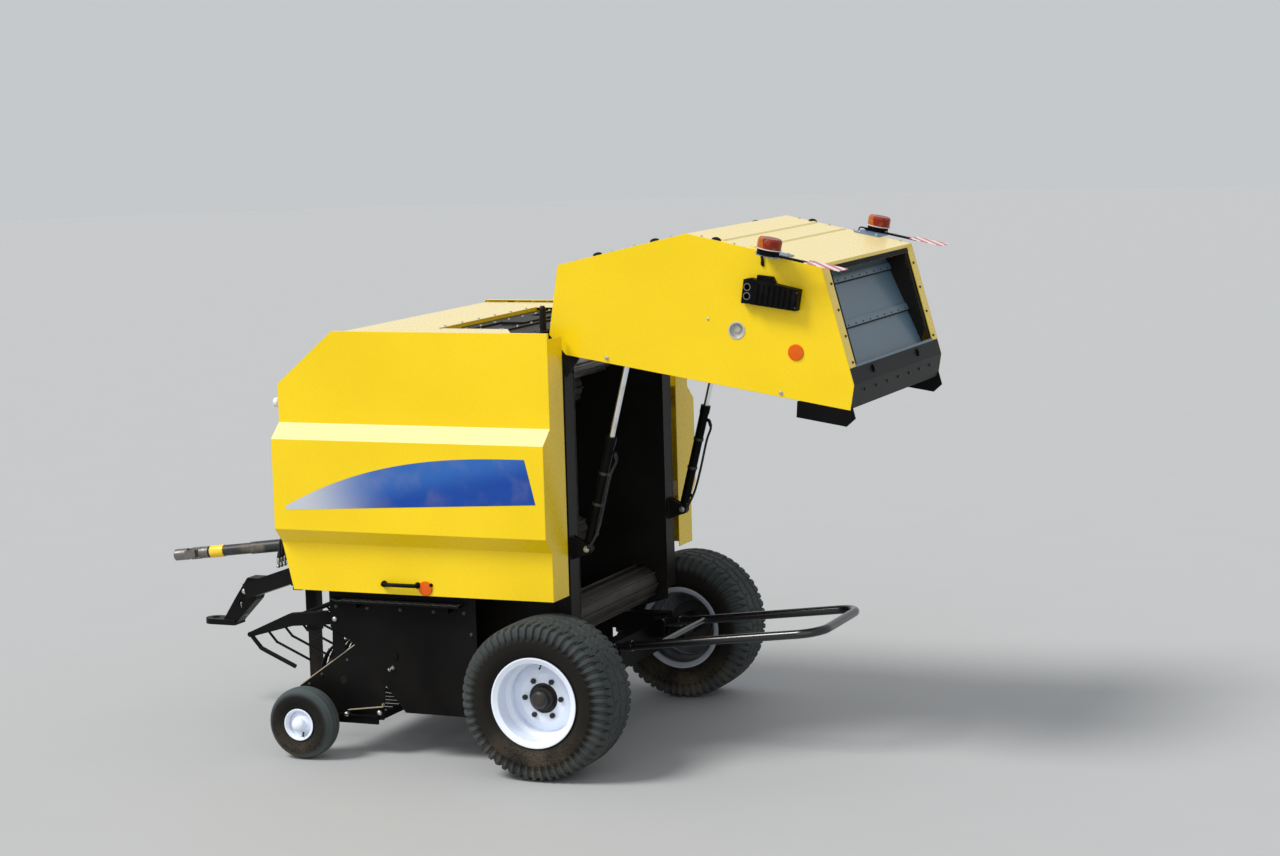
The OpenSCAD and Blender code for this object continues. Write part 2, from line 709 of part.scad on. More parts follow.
module shield_body() {
    front = shield_front_x;
    rear = shield_rear_x;
    side_pts = [[rear, shield_z], [rear, shield_top_z], [front + 341, shield_top_z],
                [front, shield_top_z - 288], [front, shield_z + 260], [front + 59, shield_z]];
    section_top = [[shield_lower_y, shield_z], [shield_lower_y, shield_z + 260],
                   [shield_belt_y, shield_z + 341], [shield_belt_y, shield_z + 830],
                   [shield_upper_y, shield_z + 909], [shield_upper_y, shield_top_z]];
    flange_in = gate_half_w + 23;
    section = concat([[flange_in, shield_z]], section_top, [[flange_in, shield_top_z]]);
    cut = concat([[flange_in - 50, shield_z]], section_top, [[flange_in - 50, shield_top_z]]);
    difference() {
        intersection() {
            slab(600, 1200) polygon(side_pts);
            bar_x(front - 10, rear + 10) polygon(section);
        }
        intersection() {
            slab(600, 1200) polygon(inset(side_pts, sheet_t));
            bar_x(front - 10, rear + 10) polygon(inset(cut, sheet_t));
        }
        box([front - 10, flange_in - 1, shield_z - 10], [rear - sheet_t, shield_upper_y - 23, shield_top_z - 30]);
        box([front - 10, flange_in - 1, shield_top_z - 31],
            [rear + 10, shield_hinge_y + 1, shield_top_z + 10]);
    }
}

module shield_tabs() {
    for (x = knuckle_xs) {
        translate([x - 12, shield_hinge_y, shield_hinge_z]) rotate([0, 90, 0])
            cylinder(r = shield_pin_r, h = knuckle_len + 24);
        for (e = [x - 12, x + knuckle_len + 4])
            box([e, shield_hinge_y - shield_pin_r, shield_hinge_z - shield_pin_r],
                [e + 8, shield_upper_y - sheet_t + 1, shield_hinge_z + shield_pin_r]);
    }
}

module shield_left() {
    color("#f6cc12") at_machine() on_side(LEFT) union() {
        shield_body();
        shield_tabs();
    }
}

module shield_right() {
    color("#f6cc12") at_machine() on_side(RIGHT) union() {
        shield_body();
        shield_tabs();
    }
}

// Tailgate, drawn closed and then raised

window_strip = 45;
window_foot = 85;
gate_slope = gate_pts[2] - gate_pts[1];
gate_slope_a = atan2(gate_slope[1], gate_slope[0]);
gate_back_a = atan2(gate_pts[3][1] - gate_pts[2][1], gate_pts[3][0] - gate_pts[2][0]);
recess_at = [346, 1289];
recess_r = 40;
recess_deep = 28;
panel_ribs = [387, 557];
slot_ends = [[700, 1196], [742, 1208]];

// On the tailgate's lower slope: X runs up it from its foot, Z into the tailgate
module on_slope() {
    translate([gate_pts[1][0], 0, gate_pts[1][1]]) rotate([0, -gate_slope_a, 0]) children();
}

// On the tailgate's rear panel, in the same way
module on_back() {
    translate([gate_pts[2][0], 0, gate_pts[2][1]]) rotate([0, -gate_back_a, 0]) children();
}

module gate_shell() {
    inner = inset(gate_pts, sheet_t);
    run = norm(gate_slope);
    in_y = gate_half_w - sheet_t;
    color("#f6cc12") at_machine() raised() {
        difference() {
            slab(-gate_half_w, gate_half_w) polygon(gate_pts);
            slab(-in_y, in_y) polygon(inner);
            // Open front and bottom
            box([40, -in_y, 600], [53 + sheet_t + 1, in_y, 2206]);
            box([40, -in_y, 600], [190, in_y, 640]);
            // Notches round the hinges, dished recess and lamp slot in each side panel
            both_sides() {
                rod_y(50, wall_y - 6, in_y, [hinge_x, hinge_z]);
                rod_y(recess_r, in_y - 1, gate_half_w + 1, recess_at);
                for (p = slot_ends) rod_y(8, in_y - 1, gate_half_w + 1, p);
                slab(in_y - 1, gate_half_w + 1)
                    polygon([slot_ends[0] + [2, -7], slot_ends[1] + [2, -7], slot_ends[1] + [-2, 7],
                             slot_ends[0] + [-2, 7]]);
            }
            // Rear window over the beam on the lower slope
            on_slope() {
                translate([-25, -in_y, -20]) cube([25 + window_foot, 2 * in_y, 40]);
                translate([0, -gate_half_w + window_strip, -20])
                    cube([run - window_strip, 2 * (gate_half_w - window_strip), 40]);
            }
        }
        both_sides() difference() {
            rod_y(recess_r + 4, gate_half_w - recess_deep, gate_half_w + 2, recess_at);
            rod_y(recess_r, gate_half_w - recess_deep + 3, gate_half_w + 3, recess_at);
        }
        // Pressed ribs across the rear panel
        on_back() for (s = panel_ribs) translate([s, 0, 0]) slab(-gate_half_w + 40, gate_half_w - 40)
            polygon([[-18, 1], [-9, -7], [9, -7], [18, 1]]);
    }
}

gate_wall_pts = [[60, 631 + gate_beam_h], [330, 711], [735, 895], [770, 1626], [500, hinge_z + 106],
                 [146, hinge_z + 106], [60, hinge_z - 50]];

module gate_walls() {
    boss_y = cyl_y + cyl_eye_w / 2 + 2;
    closed_eye = [242, 1878];
    color("#2b2d30") at_machine() raised() both_sides() {
        slab(wall_y, wall_out_y) union() {
            polygon(gate_wall_pts);
            translate([hinge_x, hinge_z]) circle(r = 42);
        }
        // Hinge pin and the boss that holds the cylinder's eye
        rod_y(hinge_pin_r, wall_out_y - 1, gate_half_w - sheet_t, [hinge_x, hinge_z]);
        rod_y(30, boss_y + run_gap, gate_half_w - sheet_t, closed_eye);
        // Ties between wall and panel
        for (p = [[700, 1000], [730, 1560], [520, 2200]])
            box([p[0] - 15, wall_out_y - 1, p[1] - 15], [p[0] + 15, gate_half_w - sheet_t, p[1] + 15]);
    }
}

// Place of a slat on the elevator's loop, s counted along it from the lower inner end
function loop_place(s) =
    let (span = (elevator_hi - elevator_lo) * PI / 180,
         l_in = elevator_in_r * span, l_end = PI * elevator_end_r, l_out = elevator_out_r * span)
    s < l_in ? polar(chamber_mid(), elevator_in_r, elevator_lo + s / elevator_in_r * 180 / PI)
    : s < l_in + l_end
        ? polar(polar(chamber_mid(), elevator_mid_r, elevator_hi), elevator_end_r,
                elevator_hi + 180 - (s - l_in) / elevator_end_r * 180 / PI)
    : s < l_in + l_end + l_out
        ? polar(chamber_mid(), elevator_out_r, elevator_hi - (s - l_in - l_end) / elevator_out_r * 180 / PI)
    : polar(polar(chamber_mid(), elevator_mid_r, elevator_lo), elevator_end_r,
            elevator_lo - (s - l_in - l_end - l_out) / elevator_end_r * 180 / PI);

function loop_length() =
    (elevator_in_r + elevator_out_r) * (elevator_hi - elevator_lo) * PI / 180 + 2 * PI * elevator_end_r;

module gate_elevator() {
    color("#3b3d40") at_machine() raised() {
        both_sides() slab(574, 588)
            loop_band(chamber_mid(), elevator_in_r, elevator_out_r, elevator_lo, elevator_hi, chain_half_t);
        for (k = [0:slat_count - 1])
            rod_y(slat_r, -581, 581, loop_place((k + 0.5) * loop_length() / slat_count));
        for (a = [elevator_lo, elevator_hi]) {
            mid = polar(chamber_mid(), elevator_mid_r, a);
            both_sides() {
                rod_y(elevator_end_r - chain_half_t, 574, 588, mid);
                rod_y(14, 588, wall_y, mid);
            }
        }
    }
}

plate_marks = [window_foot + 3, 295, 535, 622];
plate_depth = 26;
plate_lean = 9.6;
plate_step = 5;

// Overlapping plates behind the rear window, with a strap along each overlap
module gate_plates() {
    color("#6d7a85") at_machine() raised() on_slope() translate([0, 0, plate_depth]) rotate([0, -plate_lean, 0]) {
        for (k = [0:2])
            box([plate_marks[k], -wall_y, -plate_step * k], [plate_marks[k + 1] + 12, wall_y, 4 - plate_step * k]);
        for (k = [1:2])
            box([plate_marks[k] - 8, -wall_y + 6, -plate_step * k - 8],
                [plate_marks[k] + 30, wall_y - 6, 1 - plate_step * k]);
    }
}

clip_y = 384;

// Box beam across the tailgate's foot, with two clips and the latch plates
module gate_beam() {
    top = gate_pts[1][1] + gate_beam_h;
    in_y = gate_half_w - sheet_t;
    nose = gate_pts[1] + unit(gate_slope) * window_foot;
    color("#1b1c1e") at_machine() raised() {
        slab(-in_y, in_y) polygon([[60, gate_pts[1][1]], gate_pts[1], nose, [nose[0] - 20, top], [60, top]]);
        both_sides() slab(in_y - 8, in_y)
            polygon([[100, 640], [100, 760], [47, 918], [-35, 910], [-33, 640], gate_latch_tip, [90, 633]]);
        on_slope() for (y = [-clip_y, clip_y]) {
            box([30, y - 32, -8], [70, y + 32, 1]);
            translate([50, y - 24, -6]) rotate([-90, 0, 0]) cylinder(r = 7, h = 48);
        }
    }
}

lamp_along = 243;
lamp_y = 888;
lamp_r = 62;
marker_tip = -160;

// Lamp brackets with their foot plates, and the flat arms of the marker boards
module gate_lamps() {
    color("#2b3138") at_machine() raised() both_sides() on_back() {
        box([lamp_along - 72, 690, -6], [lamp_along + 72, lamp_y + 46, 0]);
        box([lamp_along - 20, gate_half_w + 6, -1], [lamp_along + 20, gate_half_w + 12, 60]);
        translate([lamp_along, lamp_y, -34]) cylinder(r = lamp_r - 6, h = 29);
        box([6, lamp_y - 34, -14], [lamp_along - 40, lamp_y - 4, -5]);
    }
}

// Lenses of the four lamps on the tailgate
module lamp_lenses() {
    color("#c8401c") at_machine() raised() both_sides() on_back() translate([lamp_along, lamp_y, -92]) {
        translate([0, 0, 10]) cylinder(r = lamp_r, h = 48);
        cylinder(r1 = lamp_r - 8, r2 = lamp_r, h = 10.5);
    }
}

module marker_plates() {
    color("#d8d0cc") at_machine() raised() both_sides() on_back()
        box([marker_tip, lamp_y - 80, -17], [30, lamp_y + 62, -14]);
}

chock_at = [560, 1120];
chock_ribs = 8;

// Wheel chocks on the side panels: drilled foot, ribbed body and its clip
module wheel_chocks() {
    color("#141516") at_machine() raised() both_sides() translate([chock_at[0], 0, chock_at[1]]) {
        slab(gate_half_w, gate_half_w + 42) difference() {
            polygon([[-65, 152], [58, 155], [69, 123], [68, 97], [-60, 97]]);
            translate([22, 130]) circle(r = 15);
            translate([-24, 126]) circle(r = 15);
        }
        slab(gate_half_w, gate_half_w + 60) polygon([[-60, 98], [68, 98], [55, -150], [-53, -149]]);
        slab(gate_half_w, gate_half_w + 26) polygon([[52, 91], [89, 91], [93, 8], [65, -11], [52, -11]]);
        for (k = [0:chock_ribs - 1])
            box([-50, gate_half_w + 59, -138 + k * 29], [52, gate_half_w + 66, -124 + k * 29]);
    }
}

// Tailgate cylinders

module barrel(side) {
    r = rod_r + run_gap + barrel_wall;
    on_side(side) translate([cyl_base[0], cyl_y, cyl_base[1]]) rotate([0, cyl_tilt, 0]) difference() {
        union() {
            translate([0, -cyl_eye_w / 2, 0]) rotate([-90, 0, 0]) cylinder(r = 27, h = cyl_eye_w);
            cylinder(r = r * 0.5, h = 50);
            translate([0, 0, 40]) cylinder(r = r, h = barrel_len - 40);
            translate([0, 0, barrel_len - 46]) cylinder(r = r + 3, h = 46);
            // Oil ports
            for (h = [90, barrel_len - 80]) translate([r - 5, 0, h]) rotate([0, 90, 0]) cylinder(r = 10, h = 20);
        }
        translate([0, 0, 50]) cylinder(r = rod_r + run_gap, h = barrel_len);
        translate([0, -cyl_eye_w, 0]) rotate([-90, 0, 0]) cylinder(r = cyl_pin_r + run_gap, h = 2 * cyl_eye_w);
    }
}

module rod(side) {
    on_side(side) translate([cyl_base[0], cyl_y, cyl_base[1]]) rotate([0, cyl_tilt, 0]) union() {
        translate([0, 0, cyl_len - rod_len]) cylinder(r = rod_r, h = rod_len - 40);
        translate([0, 0, cyl_len - 41]) cylinder(r = rod_r - 4, h = 29);
        translate([0, -cyl_eye_w / 2, cyl_len]) rotate([-90, 0, 0]) cylinder(r = 28, h = cyl_eye_w + 2);
    }
}

module barrel_left() {
    color("#202124") at_machine() barrel(LEFT);
}

module barrel_right() {
    color("#202124") at_machine() barrel(RIGHT);
}

module rod_left() {
    color("#c8cbd0") at_machine() rod(LEFT);
}

module rod_right() {
    color("#c8cbd0") at_machine() rod(RIGHT);
}

// Bale kicker: two arms bent into a cross bar

module kicker() {
    len_x = (kicker_reach - kicker_pivot[0]) / cos(kicker_rise);
    straight = len_x - kicker_bend_r;
    color("#1b1c1e") at_machine() translate([kicker_pivot[0], 0, kicker_pivot[1]])
        rotate([0, -kicker_rise, 0]) difference() {
            union() {
                both_sides() {
                    rod_y(26, kicker_half_w - kicker_boss / 2, kicker_half_w + kicker_boss / 2, [0, 0]);
                    translate([0, kicker_half_w, 0]) rotate([0, 90, 0])
                        cylinder(r = kicker_tube_r, h = straight);
                    translate([70, kicker_half_w, 0]) rotate([0, 90, 0])
                        cylinder(r = kicker_tube_r + 5, h = 40);
                    translate([straight, kicker_half_w - kicker_bend_r, 0])
                        rotate_extrude(angle = 90) translate([kicker_bend_r, 0]) circle(r = kicker_tube_r);
                }
                rod_y(kicker_tube_r, -kicker_half_w + kicker_bend_r, kicker_half_w - kicker_bend_r, [len_x, 0]);
                rod_y(16, -kicker_half_w, kicker_half_w, [260, 0]);
            }
            both_sides() rod_y(10 + run_gap, kicker_half_w - kicker_boss, kicker_half_w + kicker_boss, [0, 0]);
        }
}

// Pickup

module pickup_frame() {
    p = pickup_pivot;
    sheet_pts = [[-1540, 361], [-1190, 607], [-1170, 607], [-1160, 640], [-1010, 640], [-905, 600], [-905, 520],
                 [-1010, 420], [-1030, 200], [-1300, 185], [-1480, 290]];
    color("#1e1f21") at_machine() {
        both_sides() difference() {
            union() {
                slab(pickup_half_w - 6, pickup_half_w) polygon(sheet_pts);
                // Windguard bracket
                slab(pickup_half_w - 6, pickup_half_w) union() {
                    polygon([[-1330, 500], [-1240, 550], [-1278, 750], [-1322, 750]]);
                    translate(windguard_at) circle(r = 24);
                }
                rod_y(12, windguard_y - 8, pickup_half_w, windguard_at);
                rod_y(15, pickup_half_w - 6, skirt_y + skirt_t + 8, p);
                // Gauge wheel arm, along the sheet's foot
                box([gauge_at[0] - 20, pickup_half_w, gauge_at[1] - 20],
                    [-1060, pickup_half_w + gauge_arm_t, gauge_at[1] + 30]);
                box([-1262, pickup_half_w + gauge_arm_t - 1, gauge_at[1] + 26],
                    [-1060, pickup_half_w + gauge_arm_t + 16, gauge_at[1] + 30]);
                rod_y(14, pickup_half_w, gauge_y + gauge_w / 2 - 4, gauge_at);
                rod_y(52, pickup_half_w - 24, pickup_half_w - 6, reel_at);
            }
            rod_y(22 + run_gap, pickup_half_w - 40, pickup_half_w + 1, reel_at);
        }
        // Cross members behind the reel
        box([band_end_x, -pickup_half_w + 6, 596], [band_end_x + 30, pickup_half_w - 6, 626]);
        box([band_end_x, -pickup_half_w + 6, 205], [band_end_x + 30, pickup_half_w - 6, 235]);
    }
}

// Stripper bands between the tines, held by the two cross members
module pickup_bands() {
    n = floor(2 * (pickup_half_w - 70) / tine_pitch);
    module profile(r, x_end) {
        translate(reel_at) union() {
            circle(r = r);
            translate([0, -r]) square([x_end - reel_at[0], 2 * r]);
        }
    }
    color("#4a4d50") at_machine()
        for (k = [0:n - 1])
            translate([0, (k - (n - 1) / 2) * tine_pitch - band_w / 2, 0]) slab(0, band_w)
                difference() {
                    profile(band_r, band_end_x);
                    profile(band_r - 3, band_end_x + 10);
                }
}

tine_r = 3.5;
reel_bar_r = 120;

module pickup_reel() {
    n = floor(2 * (pickup_half_w - 70) / tine_pitch) - 1;
    half = pickup_half_w - 34;
    color("#34363a") at_machine() translate([reel_at[0], 0, reel_at[1]]) {
        translate([0, -pickup_half_w + 2, 0]) rotate([-90, 0, 0]) cylinder(r = 22, h = 2 * pickup_half_w - 4);
        for (y = [-half, -6, half - 12]) translate([0, y, 0]) rotate([-90, 0, 0])
            cylinder(r = reel_bar_r + 18, h = 12);
        for (b = [0:tine_bars - 1]) rotate([0, b * 360 / tine_bars + 25, 0]) {
            translate([reel_bar_r, -half, 0]) rotate([-90, 0, 0]) cylinder(r = 13, h = 2 * half, $fn = 16);
            for (k = [0:n - 1])
                translate([reel_bar_r, (k - (n - 1) / 2) * tine_pitch, 0]) rotate([0, 90, 0])
                    cylinder(r = tine_r, h = tine_tip_r - reel_bar_r, $fn = 8);
        }
    }
}

finger_count = 11;
finger_knee = [-1795, 548];
finger_end = [-1585, 456];

// A round bar in the X-Z plane from p to q
module bar_xz(r, p, q) {
    run = q - p;
    translate([p[0], 0, p[1]]) rotate([0, atan2(run[0], run[1]), 0]) cylinder(r = r, h = norm(run), $fn = 16);
}

module windguard() {
    y1 = windguard_y - 8 - run_gap;
    at = windguard_at;
    knee = windguard_knee;
    tip = windguard_tip;
    color("#1b1c1e") at_machine() difference() {
        union() {
            both_sides() {
                slab(y1 - 6, y1) union() {
                    polygon([at + [0, 22], at + [-70, 30], knee + [0, 22], tip + [0, 14], tip + [4, -14],
                             knee + [24, -44], at + [-50, -40], at + [0, -22]]);
                    translate(at) circle(r = 22);
                }
                // Inner flange along the arm's top
                slab(y1 - 46, y1) polygon([at + [-70, 30], knee + [0, 22], knee + [0, 18], at + [-70, 26]]);
            }
            rod_y(14, -y1, y1, tip);
            for (k = [0:finger_count - 1])
                translate([0, (k / (finger_count - 1) - 0.5) * 2 * (y1 - 10), 0]) {
                    bar_xz(7, tip, finger_knee);
                    bar_xz(7, finger_knee, finger_end);
                    translate([finger_knee[0], 0, finger_knee[1]]) sphere(r = 8, $fn = 16);
                }
        }
        both_sides() rod_y(12 + run_gap, y1 - 30, y1 + 30, windguard_at);
    }
}

module gauge_tyre(side) {
    r = gauge_d / 2;
    h = gauge_w / 2;
    seat = gauge_seat_d / 2 + seat_gap;
    translate([gauge_at[0], side * gauge_y, gauge_at[1]]) rotate([-90, 0, 0]) rotate_extrude($fn = 64)
        polygon([[seat, -h + 24], [seat + 14, -h + 14], [seat + 44, -h], [r - 34, -h + 6], [r - 10, -h + 24],
                 [r, -h + 48], [r, h - 48], [r - 10, h - 24], [r - 34, h - 6], [seat + 44, h],
                 [seat + 14, h - 14], [seat, h - 24]]);
}

module gauge_tyre_left() {
    color("#26282a") at_machine() gauge_tyre(LEFT);
}

module gauge_tyre_right() {
    color("#26282a") at_machine() gauge_tyre(RIGHT);
}

module gauge_rim(side) {
    seat = gauge_seat_d / 2;
    h = gauge_w / 2 - 12;
    on_side(side) translate([gauge_at[0], gauge_y, gauge_at[1]]) rotate([-90, 0, 0])
        rotate_extrude($fn = 64) union() {
            polygon([[seat + 11, -h - 4], [seat + 11, -h], [seat, -h + 10], [seat, h - 10], [seat + 11, h],
                     [seat + 11, h + 4], [seat + 4, h + 4], [seat - 6, h - 8], [seat - 6, -h + 8],
                     [seat + 4, -h - 4]]);
            polygon([[14 + run_gap, -h + 6], [14 + run_gap, h + 14], [24, h + 14], [34, h + 4], [36, h - 12],
                     [seat - 5, h - 30], [seat - 5, h - 36], [34, h - 22], [30, -h + 6]]);
        }
}

module gauge_rim_left() {
    color("#f2f2ee") at_machine() gauge_rim(LEFT);
}

module gauge_rim_right() {
    color("#f2f2ee") at_machine() gauge_rim(RIGHT);
}

// Feed rotor: finger plates on a tube
rotor_plates = 13;

module feed_rotor() {
    pitch = 2 * (wall_y - 40) / (rotor_plates - 1);
    color("#34363a") at_machine() translate([rotor_x, 0, rotor_z]) {
        translate([0, rotor_chain_y - 14, 0]) rotate([-90, 0, 0])
            cylinder(r = rotor_shaft_r, h = wall_out_y + boss_h + 22 - rotor_chain_y);
        translate([0, rotor_chain_y - 5, 0]) rotate([-90, 0, 0]) cylinder(r = rotor_sprocket_r - 6 - move_gap, h = 10);
        translate([0, -wall_y + 12, 0]) rotate([-90, 0, 0]) cylinder(r = 62, h = 2 * (wall_y - 12));
        for (k = [0:rotor_plates - 1])
            translate([0, (k - (rotor_plates - 1) / 2) * pitch - 6, 0]) rotate([0, k * 20, 0])
                rotate([-90, 0, 0]) linear_extrude(12)
                    for (f = [0:2]) rotate(f * 120)
                        polygon([[40, -42], [150, -26], [rotor_r - 6, 10], [rotor_r - 12, 34], [140, 26], [40, 42]]);
    }
}

// Ribbed chamber roller with its shaft and the sprocket on its left end
module chamber_roller(i) {
    p = roller_at(i);
    shaft_from = (i == driven_roller ? main_chain_y : -sprocket_y) - 14;
    color("#45484c") at_machine() translate([p[0], 0, p[1]]) {
        translate([0, -roller_half_len, 0]) rotate([-90, 0, 0]) linear_extrude(2 * roller_half_len) union() {
            circle(r = roller_r - 12);
            for (k = [0:roller_ribs - 1]) rotate(k * 360 / roller_ribs)
                translate([roller_r - 20, -5]) square([20 - 0.5, 10]);
        }
        translate([0, shaft_from, 0]) rotate([-90, 0, 0])
            cylinder(r = roller_shaft_r, h = wall_out_y + boss_h + 6 - shaft_from);
        if (i < 6) translate([0, -sprocket_y - sprocket_t + 1, 0]) rotate([-90, 0, 0])
            cylinder(r = sprocket_r - move_gap, h = sprocket_t);
        if (i == driven_roller) translate([0, main_chain_y - 5, 0]) rotate([-90, 0, 0])
            cylinder(r = roller_sprocket_r - 6 - move_gap, h = 10);
    }
}

module roller_1() { chamber_roller(0); }
module roller_2() { chamber_roller(1); }
module roller_3() { chamber_roller(2); }
module roller_4() { chamber_roller(3); }
module roller_5() { chamber_roller(4); }
module roller_6() { chamber_roller(5); }
module roller_7() { chamber_roller(6); }

// Drive shaft guard and the shaft with its front yoke, along the sloping input line

module on_shaft_line() {
    translate([input_x, 0, input_z]) rotate([0, -90 - shaft_tilt, 0]) children();
}

module pto_guard() {
    color("#1d1e20") at_machine() on_shaft_line() difference() {
        union() {
            translate([0, 0, guard_from]) cylinder(r1 = 70, r2 = 52, h = 110);
            translate([0, 0, 120]) cylinder(r = guard_r + 4, h = guard_len - 400);
            translate([0, 0, 120]) cylinder(r = guard_r, h = guard_len - 120);
        }
        translate([0, 0, -2]) cylinder(r = 23 + run_gap, h = guard_len + 4);
    }
}

module pto_shaft() {
    color("#8a8d90") at_machine() on_shaft_line() difference() {
        union() {
            translate([0, 0, 60]) cylinder(r = 23, h = guard_len + 10);
            translate([0, 0, guard_len + 10]) cylinder(r = yoke_r, h = 60);
            for (s = [-1, 1]) translate([s * 26 - 7, -22, guard_len + 60]) cube([14, 44, 70]);
            translate([-19, -19, guard_len + 95]) cube([38, 38, 30]);
            for (s = [-1, 1]) translate([-22, s * 26 - 7, guard_len + 95]) cube([44, 14, 70]);
            translate([0, 0, yoke_end - 85]) cylinder(r = yoke_r, h = 85);
        }
        translate([0, 0, yoke_end - 75]) cylinder(r = yoke_bore_r, h = 90);
    }
}

main_frame();
wall_left();
wall_right();
drawbar();
hood();
top_deck();
gearbox();
skirts();
feed_floor();
drive_chain();
front_lamps();
shield_left();
shield_right();
gate_shell();
gate_walls();
gate_elevator();
gate_plates();
gate_beam();
gate_lamps();
lamp_lenses();
marker_plates();
wheel_chocks();
barrel_left();
barrel_right();
rod_left();
rod_right();
tyre_left();
tyre_right();
rim_left();
rim_right();
hub_left();
hub_right();
kicker();
pickup_frame();
pickup_bands();
pickup_reel();
windguard();
gauge_tyre_left();
gauge_tyre_right();
gauge_rim_left();
gauge_rim_right();
feed_rotor();
roller_1();
roller_2();
roller_3();
roller_4();
roller_5();
roller_6();
roller_7();
jack_leg();
pto_guard();
pto_shaft();
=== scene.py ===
"""Finishes and fittings of a trailed round baler that stands with its tailgate raised.

Shapes are worked out in millimetres in the axle's frame: x runs to the rear from the main
axle, y to the machine's right and z up from the ground. Shape.build() turns them into metres
of the shared frame, where the CAD bodies stand.
"""
import logging
import math
from collections.abc import Callable
from dataclasses import dataclass
from enum import Enum

import bpy
import numpy as np
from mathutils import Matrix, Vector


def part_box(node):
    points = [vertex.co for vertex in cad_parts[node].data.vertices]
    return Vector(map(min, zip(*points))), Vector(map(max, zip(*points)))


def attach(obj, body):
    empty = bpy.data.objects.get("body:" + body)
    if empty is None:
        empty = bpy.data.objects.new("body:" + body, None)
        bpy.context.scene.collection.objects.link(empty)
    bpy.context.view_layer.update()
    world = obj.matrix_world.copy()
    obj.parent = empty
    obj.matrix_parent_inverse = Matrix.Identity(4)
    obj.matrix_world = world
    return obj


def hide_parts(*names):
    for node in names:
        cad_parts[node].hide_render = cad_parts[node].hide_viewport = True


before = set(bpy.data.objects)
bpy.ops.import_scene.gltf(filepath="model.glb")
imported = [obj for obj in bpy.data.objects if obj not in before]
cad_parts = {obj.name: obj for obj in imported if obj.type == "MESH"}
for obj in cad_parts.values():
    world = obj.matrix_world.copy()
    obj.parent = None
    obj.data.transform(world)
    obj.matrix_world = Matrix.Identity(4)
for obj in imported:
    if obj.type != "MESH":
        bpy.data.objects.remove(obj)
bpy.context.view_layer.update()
LOG = logging.getLogger("baler")
AXLE_X = 500 * float(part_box("tyre_left")[0][0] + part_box("tyre_left")[1][0])

Colour = tuple[float, float, float]
Row = float | list | np.ndarray
OUT, UP, INTO = (0, 1, 0), (0, 0, 1), (0, 0, -1)


class Side(Enum):
    """Which side of the machine a piece is on: the sign of its y."""

    LEFT = -1
    RIGHT = 1

    @property
    def word(self) -> str:
        """The side's name as the CAD nodes spell it."""
        return self.name.lower()


class Axis(Enum):
    """An axis that shapes are turned about."""

    X = (1.0, 0.0, 0.0)
    Y = (0.0, 1.0, 0.0)
    Z = (0.0, 0.0, 1.0)


class Tread(Enum):
    """Pattern of a tyre's running surface."""

    BARS = "slotted shoulders and zigzag ribs"
    RIBS = "plain round ribs"


def operator(operation: str, flipped: bool = False) -> Callable:
    """A method of Value that adds a Math node, which takes the value itself last if flipped."""
    def act(self: "Value", *others: "Value | float") -> "Value":
        """The node's result."""
        return self.shader.math(operation, *((*others, self) if flipped else (self, *others)))
    return act


class Value:
    """A shader socket that Python's operators work on: each one adds a Math node."""

    def __init__(self, shader: "Shader", socket: bpy.types.NodeSocket) -> None:
        """Wraps socket, an output of shader's node tree."""
        self.shader = shader
        self.socket = socket

    __add__ = __radd__ = operator("ADD")
    __sub__, __rsub__ = operator("SUBTRACT"), operator("SUBTRACT", flipped=True)
    __mul__ = __rmul__ = operator("MULTIPLY")
    __truediv__ = operator("DIVIDE")
    sine, fraction, size, sign, root = (operator(name) for name in ("SINE", "FRACT", "ABSOLUTE", "SIGN", "SQRT"))

    def between(self, low: float, high: float) -> "Value":
        """Smooth step from 0 at low to 1 at high; low may be the larger."""
        settings = {"interpolation_type": "SMOOTHSTEP"}
        inputs = {"Value": self, "From Min": low, "From Max": high}
        return self.shader.out(self.shader.node("ShaderNodeMapRange", settings, inputs))


